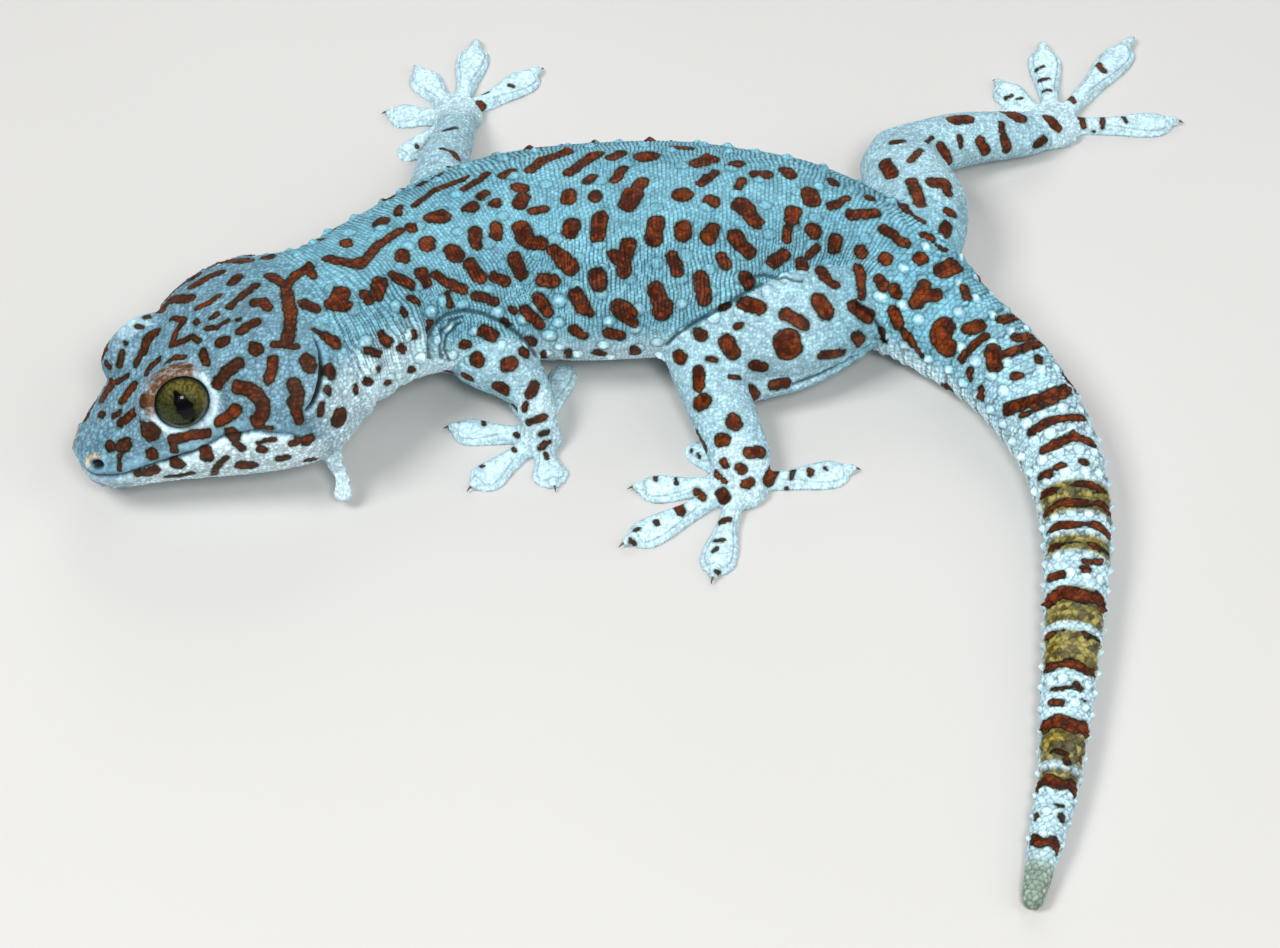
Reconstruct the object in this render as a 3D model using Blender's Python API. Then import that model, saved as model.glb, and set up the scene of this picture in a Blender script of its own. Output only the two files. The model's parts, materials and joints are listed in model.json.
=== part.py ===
"""A life-size tokay gecko on a level floor, its head turned a little and its tail in a long bend.

The animal faces -X and its left side faces -Y. Sizes are in millimetres and are turned to
metres where the meshes are made. The origin is on the floor, under the middle of the animal.
"""
import math
import random

import bpy
import bmesh
import numpy as np
from mathutils import Matrix, Vector

MM = 0.001
UP = np.array((0.0, 0.0, 1.0))

# Driving sizes of the whole animal
GAP = 0.3
SNOUT = np.array((-96.4, -15.6, 11.0))
SNOUT_TIP_REACH = 0.7
HEAD_YAW = math.radians(30.0)
HEAD_PITCH = math.radians(7.0)
HEAD_ROLL = math.radians(12.0)
NECK_ROLL = HEAD_ROLL * 0.4

# Roundness of the cross-sections, where 2 is an ellipse, and how finely they are cut up
HEAD_POWER = 2.3
BODY_POWER = 2.2
LIMB_POWER = 2.0
BODY_SIDES = 24
TAIL_SIDES = 20
LIMB_SIDES = 14
TOE_SIDES = 8
HEAD_RING_STEP = 2.8
BODY_RING_STEP = 3.6

# Head sections: distance behind the snout tip, half width, height above the lip, depth below it
HEAD_SECTIONS = [
    (0.6, 4.2, 2.6, 4.2),
    (2.0, 6.2, 4.0, 5.6),
    (5.0, 8.4, 5.6, 6.8),
    (10.0, 11.0, 8.4, 8.0),
    (16.0, 13.8, 11.4, 9.2),
    (22.0, 16.8, 14.2, 10.6),
    (28.0, 19.6, 16.2, 12.0),
    (34.0, 21.2, 16.6, 13.4),
    (39.0, 21.2, 16.0, 13.4),
    (44.0, 19.0, 14.8, 12.0),
    (48.0, 17.2, 14.2, 11.2),
]

# Body stations behind the head: x, y, z of the middle line, half width, height above, depth below
NECK_AND_TORSO = [
    (-45.0, 17.2, 15.8, 16.8, 13.2, 11.2),
    (-36.0, 22.8, 15.0, 18.8, 13.0, 11.8),
    (-25.6, 28.2, 14.6, 20.6, 13.0, 12.6),
    (-7.0, 30.8, 14.4, 22.0, 13.2, 13.0),
    (11.0, 31.8, 14.2, 20.8, 12.9, 12.8),
    (25.0, 32.2, 13.6, 17.0, 12.2, 11.8),
    (37.0, 29.0, 12.4, 13.8, 11.0, 10.4),
]
TAIL = [
    (46.4, 22.6, 10.6, 11.2, 9.6, 9.4),
    (52.6, 16.6, 9.4, 9.0, 8.2, 8.6),
    (60.0, 9.4, 8.2, 7.9, 7.2, 8.0),
    (66.4, -0.6, 7.0, 7.1, 6.2, 7.2),
    (70.4, -12.2, 6.2, 6.3, 5.4, 6.4),
    (71.7, -25.4, 5.4, 5.5, 4.8, 5.6),
    (70.2, -42.8, 4.8, 4.7, 4.2, 5.0),
    (67.8, -60.4, 4.2, 4.0, 3.5, 4.4),
    (65.2, -77.6, 3.4, 3.1, 2.8, 3.6),
    (61.4, -93.4, 2.6, 2.2, 2.0, 2.8),
    (59.6, -100.4, 2.0, 1.6, 1.4, 2.2),
]

# Where one length of the body ends and the next begins, as distances along the middle line
NECK_START = 46.0
TORSO_START = 61.0
TAIL_START = 152.0
TAIL_MIDDLE_START = 190.0
TAIL_TIP_START = 240.0

# Stretch of the body that the limbs are cut back from, which takes in the shoulders and the groin
LEGS_MEET_BODY = (47.0, 164.0)

# Limbs: each joint is x, y, z, half width, half height; each palm is x, y, radius;
# each toe is its direction in degrees, its length and whether it is the small toe with no claw
LEGS = {
    "foreleg_left": {
        "upper": [(-32.6, 16.4, 13.2, 7.6, 7.2), (-27.0, 8.4, 11.2, 7.2, 6.6), (-20.4, 4.8, 8.4, 5.0, 5.0)],
        "lower": [(-19.6, 5.0, 8.0, 4.4, 4.3), (-18.9, 1.2, 6.0, 3.8, 3.6), (-18.8, -2.4, 3.6, 3.4, 2.8)],
        "palm": (-19.8, -2.0, 4.4),
        "toes": [(76.0, 19.4, True), (122.0, 13.0, False), (170.0, 15.6, False),
                 (224.0, 15.6, False), (284.0, 10.8, False)],
    },
    "foreleg_right": {
        "upper": [(-39.0, 34.0, 12.6, 6.6, 6.2), (-38.4, 47.0, 10.8, 5.6, 5.4), (-37.4, 59.4, 8.6, 4.8, 4.8)],
        "lower": [(-37.4, 60.4, 8.2, 4.4, 4.4), (-36.6, 67.0, 6.2, 4.0, 3.8), (-35.8, 74.6, 3.8, 3.6, 2.9)],
        "palm": (-36.0, 79.2, 4.8),
        "toes": [(224.0, 14.5, True), (172.0, 13.0, False), (120.0, 16.2, False),
                 (82.0, 21.6, False), (42.0, 20.2, False)],
    },
    "hindleg_left": {
        "upper": [(36.0, 21.0, 12.4, 9.0, 8.6), (23.0, 15.4, 12.0, 10.6, 9.6), (10.0, 12.6, 10.4, 7.6, 7.4)],
        "lower": [(10.0, 11.6, 9.8, 7.0, 6.6), (12.2, 2.0, 7.2, 6.5, 5.4), (15.2, -9.0, 4.2, 5.2, 3.4)],
        "palm": (15.4, -13.6, 5.6),
        "toes": [(128.0, 13.5, True), (180.0, 17.6, False), (213.0, 23.0, False),
                 (257.0, 20.5, False), (12.0, 20.2, False)],
    },
    "hindleg_right": {
        "upper": [(46.2, 32.0, 11.6, 8.4, 7.8), (46.8, 45.0, 10.8, 8.4, 7.2), (44.4, 58.4, 9.0, 6.6, 6.2)],
        "lower": [(45.0, 60.6, 8.8, 5.8, 5.6), (56.6, 68.4, 6.6, 5.0, 4.6), (69.4, 73.6, 4.0, 4.5, 3.2)],
        "palm": (75.8, 78.2, 5.4),
        "toes": [(150.0, 13.5, True), (122.0, 17.0, False), (92.0, 22.2, False),
                 (56.0, 29.0, False), (7.0, 23.0, False)],
    },
}
PALM_HEIGHT = 1.2
PALM_HALF_THICKNESS = 2.6

# Toe stations: share of the length, half width, thickness; the small toe is narrower all along
TOE_STATIONS = (
    (0.0, 2.0, 3.2),
    (0.34, 1.9, 2.8),
    (0.54, 2.35, 2.4),
    (0.74, 2.8, 2.1),
    (0.88, 2.6, 1.8),
    (0.95, 1.9, 1.5),
)
SMALL_TOE_WIDTH = 0.8
SOLE_PRESS = 0.3
CLAW_ROOT_BACK = 1.4
CLAW_ROOT_HEIGHT = 0.9
CLAW_LENGTH = 2.7
CLAW_DROP = 0.5
CLAW_RADIUS = 0.45

# Places on the head: distance behind the snout tip, offset to the side, height above the lip line
EYE_CENTRE = (18.8, 7.4, 8.6)
EYE_LOOK = (-0.16, 0.93, 0.33)
EYE_RADIUS = 5.2
LID_OPENING = 4.5
LID_FLARE = 0.5
LID_CUT = (1.5, 9.0)
ORBIT_RADII = (8.4, 6.1, 6.5)
NOSTRIL_OUTSIDE = (1.1, 5.9, 1.9)
NOSTRIL_INSIDE = (3.2, 3.4, 1.2)
NOSTRIL_RADII = (0.45, 0.95)
EAR_CENTRE = (40.0, 19.4, 5.6)
EAR_RADII = (1.4, 2.6, 3.8)

# A small finger of skin that hangs behind the left corner of the jaw
LOBE_ROOT = (38.0, 15.0, -10.0)
LOBE_MIDDLE = (-53.0, -14.1, 6.8)
LOBE_END = (-52.4, -17.4, 3.0)
LOBE_HALF_WIDTHS = (1.3, 1.1, 1.45)
LOBE_HALF_THICKNESS = 1.1

# Mouth: height of the lips' line by distance behind the snout tip, and the size of its groove
MOUTH_LINE = ((0.2, -1.4), (4.0, -1.2), (10.0, -0.2), (18.0, 1.0), (26.0, 1.6), (31.0, 0.2), (34.0, -2.0))
MOUTH_FRONT = 0.35
MOUTH_STEP = 3.0
MOUTH_DEPTH = 0.6
MOUTH_HALF_HEIGHT = 0.25
MOUTH_OVERSHOOT = 1.2

# Raised scales: root radius, height, backward lean and number of sides
BACK_SCALE = (1.4, 0.9, 0.3, 5)
TAIL_SIDE_SCALE = (1.0, 1.3, 0.8, 4)
TAIL_TOP_SCALE = (0.9, 0.9, 0.7, 4)
BACK_ANGLES = (24, 46, 66, 82, 98, 114, 134, 156)
TAIL_SIDE_ANGLES = (8, 172)
TAIL_TOP_ANGLES = (52, 128)
BACK_ROW_SPACING = 3.8
TAIL_WHORL_SPACING = 4.3
SCALE_ROOT_DEPTH = 0.8
SCALE_MARGIN = 3.0
SCALE_JITTER = 0.6
FULL_SCALE_HALF_WIDTH = 5.0

# Colours of the plain finish
SKIN_COLOUR = (0.42, 0.60, 0.64, 1.0)
SKIN_ROUGHNESS = 0.6
EYE_COLOUR = (0.32, 0.30, 0.08, 1.0)
EYE_ROUGHNESS = 0.1

scene = bpy.context.scene


def clear_scene():
    for item in list(bpy.data.objects):
        bpy.data.objects.remove(item, do_unlink=True)


def new_collection(name):
    collection = bpy.data.collections.new(name)
    scene.collection.children.link(collection)
    return collection


def new_material(name, colour, roughness):
    material = bpy.data.materials.new(name)
    material.use_nodes = True
    shader = material.node_tree.nodes["Principled BSDF"]
    shader.inputs["Base Color"].default_value = colour
    shader.inputs["Roughness"].default_value = roughness
    shader.inputs["Metallic"].default_value = 0.0
    return material


def new_object(name, shape):
    """Turn a bmesh into an object of triangles whose faces point outwards."""
    bmesh.ops.recalc_face_normals(shape, faces=shape.faces)
    bmesh.ops.triangulate(shape, faces=shape.faces)
    mesh = bpy.data.meshes.new(name)
    shape.to_mesh(mesh)
    shape.free()
    item = bpy.data.objects.new(name, mesh)
    scene.collection.objects.link(item)
    return item


class Line:
    """A smooth line through stations. Every column after x, y, z is carried along it too."""

    def __init__(self, stations):
        self.rows = np.array(stations, dtype=float)
        steps = np.linalg.norm(np.diff(self.rows[:, :3], axis=0), axis=1)
        self.at = np.concatenate([[0.0], np.cumsum(steps)])
        slopes = np.diff(self.rows, axis=0) / steps[:, None]
        inner = slopes[:-1] * steps[1:, None] + slopes[1:] * steps[:-1, None]
        inner /= (steps[1:] + steps[:-1])[:, None]
        self.slopes = np.vstack([slopes[:1], inner, slopes[-1:]])

    @property
    def length(self):
        return self.at[-1]

    def row(self, s):
        s = min(max(s, 0.0), self.length)
        i = min(int(np.searchsorted(self.at, s, side="right")) - 1, len(self.at) - 2)
        width = self.at[i + 1] - self.at[i]
        t = (s - self.at[i]) / width
        start = (2 * t**3 - 3 * t**2 + 1) * self.rows[i]
        start += (t**3 - 2 * t**2 + t) * width * self.slopes[i]
        end = (3 * t**2 - 2 * t**3) * self.rows[i + 1]
        end += (t**3 - t**2) * width * self.slopes[i + 1]
        return start + end

    def direction(self, s):
        step = 0.05
        difference = self.row(s + step)[:3] - self.row(s - step)[:3]
        return difference / np.linalg.norm(difference)


def turned(along, roll):
    """Left and up of a cross-section that faces a direction, turned about it by a roll."""
    left = np.cross(along, UP)
    left /= np.linalg.norm(left)
    up = np.cross(left, along)
    return left * math.cos(roll) + up * math.sin(roll), up * math.cos(roll) - left * math.sin(roll)


def frame_at(line, s, roll=0.0):
    """Middle point, left, up and direction of the cross-section at a distance along a line."""
    along = line.direction(s)
    left, up = turned(along, roll)
    return line.row(s)[:3], left, up, along


def outline(half_width, top, bottom, sides, power):
    """A rounded cross-section as left and up offsets, counted from the left over the back."""
    points = []
    for k in range(sides):
        angle = 2 * math.pi * k / sides
        across = math.copysign(abs(math.cos(angle)) ** (2 / power), math.cos(angle))
        rise = math.copysign(abs(math.sin(angle)) ** (2 / power), math.sin(angle))
        height = top if rise > 0 else bottom
        points.append((half_width * across, height * rise))
    return points


def place(offsets, centre, left, up):
    return [centre + left * across + up * rise for across, rise in offsets]


def above_floor(points):
    return [np.array([x, y, max(z, 0.0)]) for x, y, z in points]


def skin_over(name, rings, start_pole=None, end_pole=None):
    """A closed mesh over a run of rings, with a pole or a flat cap at each end."""
    sides = len(rings[0])
    shape = bmesh.new()
    loops = [[shape.verts.new(Vector(point) * MM) for point in points] for points in rings]
    for first, second in zip(loops, loops[1:]):
        for k in range(sides):
            following = (k + 1) % sides
            shape.faces.new((first[k], first[following], second[following], second[k]))
    for loop, pole in ((loops[0], start_pole), (loops[-1], end_pole)):
        if pole is None:
            shape.faces.new(loop)
            continue
        tip = shape.verts.new(Vector(pole) * MM)
        for k in range(sides):
            shape.faces.new((loop[k], loop[(k + 1) % sides], tip))
    return new_object(name, shape)


def rounded_rod(name, stations, sides, power=LIMB_POWER, grow=0.0, steps=7, cap_shares=(0.75, 0.35)):
    """A limb length between rounded ends. Each station carries its half width and half height."""
    line = Line(stations)

    def ring_at(s, shift=0.0, share=1.0):
        centre, left, up, along = frame_at(line, s)
        wide, high = (line.row(s)[3:5] + grow) * share
        return place(outline(wide, high, high, sides, power), centre + along * shift, left, up)

    def reach_at(s, share):
        return min(line.row(s)[3:5] + grow) * math.cos(math.asin(share))

    end = line.length
    rings = [ring_at(0.0, -reach_at(0.0, share), share) for share in reversed(cap_shares)]
    rings += [ring_at(s) for s in np.linspace(0.0, end, steps)]
    rings += [ring_at(end, reach_at(end, share), share) for share in cap_shares]
    start_pole = line.row(0.0)[:3] - line.direction(0.0) * reach_at(0.0, 0.0)
    end_pole = line.row(end)[:3] + line.direction(end) * reach_at(end, 0.0)
    return skin_over(name, rings, start_pole, end_pole)


def ball(name, centre, radii, axes=None, segments=20, ring_count=12):
    """A sphere scaled to three radii, along the given three axes."""
    shape = bmesh.new()
    bmesh.ops.create_uvsphere(shape, u_segments=segments, v_segments=ring_count, radius=1.0)
    axes = np.eye(3) if axes is None else np.array(axes)
    turn = Matrix([list(row) for row in (axes.T * np.array(radii)) * MM]).to_4x4()
    bmesh.ops.transform(shape, matrix=Matrix.Translation(Vector(centre) * MM) @ turn, verts=shape.verts)
    return new_object(name, shape)


def spike(name, base, tip, radius, sides=5, tip_radius=0.0):
    """A cone from a base point to its tip, or a tapered rod if its tip has a radius."""
    base, tip = Vector(base), Vector(tip)
    axis = tip - base
    shape = bmesh.new()
    bmesh.ops.create_cone(shape, cap_ends=True, segments=sides, radius1=radius * MM,
                          radius2=tip_radius * MM, depth=axis.length * MM)
    turn = Vector(UP).rotation_difference(axis.normalized()).to_matrix().to_4x4()
    bmesh.ops.transform(shape, matrix=Matrix.Translation((base + tip) / 2 * MM) @ turn, verts=shape.verts)
    return new_object(name, shape)


def box(name, low, high):
    """A block between two corners."""
    low, high = Vector(low) * MM, Vector(high) * MM
    shape = bmesh.new()
    bmesh.ops.create_cube(shape, size=1.0)
    stretch = Matrix.Diagonal((*(high - low), 1.0))
    bmesh.ops.transform(shape, matrix=Matrix.Translation((low + high) / 2) @ stretch, verts=shape.verts)
    return new_object(name, shape)


def keep_largest(item):
    """Keep only the largest closed surface of an object."""
    shape = bmesh.new()
    shape.from_mesh(item.data)
    seen = set()
    groups = []
    for face in shape.faces:
        if face in seen:
            continue
        seen.add(face)
        group = [face]
        for member in group:
            for edge in member.edges:
                for other in edge.link_faces:
                    if other not in seen:
                        seen.add(other)
                        group.append(other)
        groups.append(group)
    largest = max(groups, key=lambda members: sum(face.calc_area() for face in members))
    for group in groups:
        if group is not largest:
            bmesh.ops.delete(shape, geom=group, context="FACES")
    bmesh.ops.triangulate(shape, faces=shape.faces)
    shape.to_mesh(item.data)
    shape.free()


def combine(item, others, operation):
    """Join the others to an object, or cut them from it, in one Boolean, and remove them."""
    group = new_collection(item.name + "_pieces")
    for other in others:
        group.objects.link(other)
    modifier = item.modifiers.new("combine", "BOOLEAN")
    modifier.operation = operation
    modifier.operand_type = "COLLECTION"
    modifier.collection = group
    modifier.solver = "MANIFOLD"
    evaluated = item.evaluated_get(bpy.context.evaluated_depsgraph_get())
    result = bpy.data.meshes.new_from_object(evaluated)
    item.modifiers.clear()
    item.data = result
    for other in list(others):
        bpy.data.objects.remove(other, do_unlink=True)
    bpy.data.collections.remove(group)
    keep_largest(item)


def finish(item, collection, colour=SKIN_COLOUR, roughness=SKIN_ROUGHNESS):
    """Give an object its material and put it in the animal's collection."""
    for holder in list(item.users_collection):
        holder.objects.unlink(item)
    collection.objects.link(item)
    item.data.materials.clear()
    item.data.materials.append(new_material(item.name + "_finish", colour, roughness))
    item.data.shade_smooth()


# The middle line of head, neck, torso and tail, and the head's own directions
HEAD_BACK = np.array((
    math.cos(HEAD_YAW) * math.cos(HEAD_PITCH),
    math.sin(HEAD_YAW) * math.cos(HEAD_PITCH),
    math.sin(HEAD_PITCH),
))
HEAD_LEFT, HEAD_UP = turned(HEAD_BACK, HEAD_ROLL)
HEAD_AXES = np.array((HEAD_BACK, HEAD_LEFT, HEAD_UP))


def spine_stations():
    """Rows of x, y, z, half width, height above, depth below and roll, from snout to tail tip."""
    stations = []
    for distance, half_width, top, bottom in HEAD_SECTIONS:
        stations.append((*(SNOUT + HEAD_BACK * distance), half_width, top, bottom, HEAD_ROLL))
    for number, row in enumerate(NECK_AND_TORSO):
        stations.append((*row, NECK_ROLL if number == 0 else 0.0))
    for row in TAIL:
        stations.append((*row, 0.0))
    return stations


SPINE = Line(spine_stations())


def spine_ring(s, sides, power, grow=0.0, shift=0.0, share=1.0):
    """A cross-section of the body, grown by a margin, moved along the body or shrunk by a share."""
    row = SPINE.row(s)
    centre, left, up, along = frame_at(SPINE, s, row[6])
    offsets = outline(*(row[3:6] + grow) * share, sides, power)
    return above_floor(place(offsets, centre + along * shift, left, up))


def body_length(name, start, end, sides, power=BODY_POWER, grow=0.0, step=BODY_RING_STEP):
    """One length of the body between two distances, with a round end at the snout and the tail tip."""
    count = max(3, round((end - start) / step) + 1)
    rings = [spine_ring(s, sides, power, grow) for s in np.linspace(start, end, count)]
    start_pole = None
    end_pole = None
    if start == 0.0:
        start_pole = SNOUT + HEAD_BACK * (HEAD_SECTIONS[0][0] - SNOUT_TIP_REACH)
    if end == SPINE.length:
        half_width = SPINE.row(end)[3]
        for share in (0.8, 0.45):
            rings.append(spine_ring(end, sides, power, grow, half_width * math.cos(math.asin(share)), share))
        end_pole = SPINE.row(end)[:3] + SPINE.direction(end) * half_width
    return skin_over(name, rings, start_pole, end_pole)


def head_point(distance, left_offset, up_offset):
    """A point given by its distance behind the snout tip, its offset to the left and its height."""
    return SNOUT + HEAD_AXES.T @ np.array((distance, left_offset, up_offset))


def head_surface(distance, up_offset):
    """How far to the left the skull's own surface lies at a height above the lip line."""
    stations = np.array(HEAD_SECTIONS)
    half_width, top, bottom = (np.interp(distance, stations[:, 0], stations[:, k]) for k in (1, 2, 3))
    height = min(abs(up_offset) / (top if up_offset > 0 else bottom), 0.95)
    return half_width * (1.0 - height ** HEAD_POWER) ** (1.0 / HEAD_POWER)


def mouth_groove():
    """A thin ribbon that follows the lips from one mouth corner round the snout to the other."""
    distances, heights = np.array(MOUTH_LINE).T
    corner, chin = distances[-1], distances[1]
    rows = []
    for distance in (*np.arange(corner, chin, -MOUTH_STEP), 3.0, 1.9, 1.2):
        height = np.interp(distance, distances, heights)
        rows.append((distance, head_surface(distance, height), height))
    mirrored = [(distance, -side, height) for distance, side, height in reversed(rows)]
    path = rows + [(MOUTH_FRONT, 0.0, heights[0])] + mirrored
    rings = []
    for k, (distance, side, height) in enumerate(path):
        before, after = path[max(k - 1, 0)], path[min(k + 1, len(path) - 1)]
        back, across = after[0] - before[0], after[1] - before[1]
        outward = np.array((across, -back)) / math.hypot(back, across)
        ring = []
        for reach, rise in ((-MOUTH_DEPTH, 0.0), (MOUTH_OVERSHOOT, -MOUTH_HALF_HEIGHT),
                            (MOUTH_OVERSHOOT, MOUTH_HALF_HEIGHT)):
            ring.append(head_point(distance + outward[0] * reach, side + outward[1] * reach, height + rise))
        rings.append(ring)
    return skin_over("mouth_groove", rings)


def jaw_lobe():
    points = (head_point(*LOBE_ROOT), LOBE_MIDDLE, LOBE_END)
    stations = [(*point, width, LOBE_HALF_THICKNESS) for point, width in zip(points, LOBE_HALF_WIDTHS)]
    return rounded_rod("jaw_lobe", stations, TOE_SIDES, steps=4)


def build_head(collection):
    """The skull with its orbits, and the sockets, lids, nostrils, ears and mouth cut into it."""
    head = body_length("head", 0.0, NECK_START - GAP / 2, BODY_SIDES, HEAD_POWER, step=HEAD_RING_STEP)
    additions = [jaw_lobe()]
    cuts = [mouth_groove()]
    for side, eye_name in ((1.0, "eye_left"), (-1.0, "eye_right")):
        mirror = np.array((1.0, side, 1.0))
        centre = head_point(*mirror * EYE_CENTRE)
        look = HEAD_AXES.T @ (mirror * EYE_LOOK)
        look /= np.linalg.norm(look)
        additions.append(ball("orbit", centre, ORBIT_RADII, HEAD_AXES))
        cuts.append(ball("socket", centre, [EYE_RADIUS + GAP] * 3, None, 18, 10))
        opening = (centre + look * LID_CUT[0], centre + look * LID_CUT[1])
        cuts.append(spike("lid_opening", *opening, LID_OPENING, 18, LID_OPENING + LID_FLARE))
        inside, outside = head_point(*mirror * NOSTRIL_INSIDE), head_point(*mirror * NOSTRIL_OUTSIDE)
        cuts.append(spike("nostril", inside, outside, NOSTRIL_RADII[0], 8, NOSTRIL_RADII[1]))
        cuts.append(ball("ear", head_point(*mirror * EAR_CENTRE), EAR_RADII, HEAD_AXES, 14, 8))
        eye = ball(eye_name, centre, [EYE_RADIUS] * 3, None, 18, 10)
        finish(eye, collection, EYE_COLOUR, EYE_ROUGHNESS)
    combine(head, additions, "UNION")
    combine(head, cuts, "DIFFERENCE")
    finish(head, collection)


def skin_point(s, angle):
    """A point on the body at a distance and an angle round it, with its normal and direction."""
    row = SPINE.row(s)
    centre, left, up, along = frame_at(SPINE, s, row[6])
    half_width, top = row[3:5]
    turn = math.radians(angle)
    across = math.copysign(abs(math.cos(turn)) ** (2 / BODY_POWER), math.cos(turn))
    rise = math.sin(turn) ** (2 / BODY_POWER)
    normal = left * across / half_width + up * rise / top
    return centre + left * half_width * across + up * top * rise, normal / np.linalg.norm(normal), along


def near_a_leg(point):
    """True where a leg's upper length meets the body."""
    for sizes in LEGS.values():
        for x, y, z, half_width, _ in sizes["upper"][:2]:
            if np.linalg.norm(point - np.array((x, y, z))) < half_width + SCALE_MARGIN:
                return True
    return False


def raised_scales(start, end, spacing, angles, kind, every_other=True):
    """Small cones rooted in the skin, in rows across the body, leaning backwards."""
    radius, height, lean, sides = kind
    jitter = SCALE_JITTER if every_other else 0.0
    cones = []
    for row in range(int((end - start) / spacing) + 1):
        for k, angle in enumerate(angles):
            if every_other and (row + k) % 2:
                continue
            s = start + row * spacing + random.uniform(-jitter, jitter)
            turn = random.uniform(-4.0, 4.0) * jitter
            point, normal, along = skin_point(min(max(s, start), end), angle + turn)
            if near_a_leg(point):
                continue
            size = min(1.0, SPINE.row(s)[3] / FULL_SCALE_HALF_WIDTH)
            root = point - normal * SCALE_ROOT_DEPTH * size
            tip = point + (normal + along * lean) * height * size
            cones.append(spike("raised_scale", root, tip, radius * size, sides))
    return cones


def build_neck_and_torso(collection):
    lengths = (
        ("neck", NECK_START, TORSO_START, BACK_ANGLES[1:-1]),
        ("torso", TORSO_START, TAIL_START, BACK_ANGLES),
    )
    for name, start, end, angles in lengths:
        body = body_length(name, start + GAP / 2, end - GAP / 2, BODY_SIDES)
        scales = raised_scales(start + SCALE_MARGIN, end - SCALE_MARGIN, BACK_ROW_SPACING, angles, BACK_SCALE)
        combine(body, scales, "UNION")
        finish(body, collection)


def build_tail(collection):
    lengths = (
        ("tail_base", TAIL_START + GAP / 2, TAIL_MIDDLE_START - GAP / 2),
        ("tail_middle", TAIL_MIDDLE_START + GAP / 2, TAIL_TIP_START - GAP / 2),
        ("tail_tip", TAIL_TIP_START + GAP / 2, SPINE.length),
    )
    for name, start, end in lengths:
        tail = body_length(name, start, end, TAIL_SIDES)
        first = start + TAIL_WHORL_SPACING / 2
        last = min(end - TAIL_WHORL_SPACING / 2, SPINE.length - 2 * TAIL_WHORL_SPACING)
        whorls = raised_scales(first, last, TAIL_WHORL_SPACING, TAIL_SIDE_ANGLES, TAIL_SIDE_SCALE, False)
        whorls += raised_scales(first, last, TAIL_WHORL_SPACING * 2, TAIL_TOP_ANGLES, TAIL_TOP_SCALE, False)
        combine(tail, whorls, "UNION")
        finish(tail, collection)


def toe(name, root, angle, length, small):
    """A toe from the palm: a slim root, a broad flat pad and, but for the small toe, a claw."""
    way = np.array((math.cos(math.radians(angle)), math.sin(math.radians(angle)), 0.0))
    start = np.array((*root, 0.0))
    stations = []
    for share, half_width, thickness in TOE_STATIONS:
        x, y, _ = start + way * length * share
        wide = half_width * (SMALL_TOE_WIDTH if small else 1.0)
        stations.append((x, y, thickness / 2 - SOLE_PRESS, wide, thickness / 2 + SOLE_PRESS))
    pieces = [rounded_rod(name, stations, TOE_SIDES, BODY_POWER, cap_shares=(0.7,))]
    if not small:
        claw_root = start + way * (length - CLAW_ROOT_BACK) + UP * CLAW_ROOT_HEIGHT
        claw_tip = claw_root + way * CLAW_LENGTH - UP * CLAW_DROP
        pieces.append(spike("claw", claw_root, claw_tip, CLAW_RADIUS))
    return pieces


def build_leg(collection, name, sizes, ending):
    """Upper and lower length and the hand or foot, each cut back from its neighbour by the gap."""
    upper = rounded_rod(name + "_upper", sizes["upper"], LIMB_SIDES)
    lower = rounded_rod(name + "_lower", sizes["lower"], LIMB_SIDES)
    body_clearance = body_length("body_clearance", *LEGS_MEET_BODY, BODY_SIDES, grow=GAP)
    upper_clearance = rounded_rod("upper_clearance", sizes["upper"], LIMB_SIDES, grow=GAP)
    lower_clearance = rounded_rod("lower_clearance", sizes["lower"], LIMB_SIDES, grow=GAP)
    combine(upper, [body_clearance], "DIFFERENCE")
    combine(lower, [upper_clearance], "DIFFERENCE")
    x, y, radius = sizes["palm"]
    foot = ball(name + ending, (x, y, PALM_HEIGHT), (radius, radius, PALM_HALF_THICKNESS), None, 14, 8)
    pieces = []
    for number, (angle, length, small) in enumerate(sizes["toes"]):
        pieces += toe(f"toe_{number + 1}", (x, y), angle, length, small)
    combine(foot, pieces, "UNION")
    reach = 2 * max(length for _, length, _ in sizes["toes"])
    below_floor = box("below_floor", (x - reach, y - reach, -reach), (x + reach, y + reach, 0.0))
    combine(foot, [below_floor, lower_clearance], "DIFFERENCE")
    for item in (upper, lower, foot):
        finish(item, collection)


def build():
    clear_scene()
    random.seed(7)
    collection = new_collection("tokay_gecko")
    build_head(collection)
    build_neck_and_torso(collection)
    build_tail(collection)
    for name, sizes in LEGS.items():
        build_leg(collection, name, sizes, "_hand" if name.startswith("fore") else "_foot")


build()
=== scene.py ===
"""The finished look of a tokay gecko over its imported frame.

One skin replaces the nodes of flesh. It is lofted from sizes close to the frame's own, fused by a
voxel remesh and then shaped point by point: lids, lips, ears, folds, tubercles, whorls and toe pads
are all moved points. Its markings are distances to the edges of strokes, spots and bands, which
the material turns into colour. Lengths are millimetres, and become metres in the meshes.
"""
import itertools
import json
import math
import random
from types import SimpleNamespace

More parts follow.
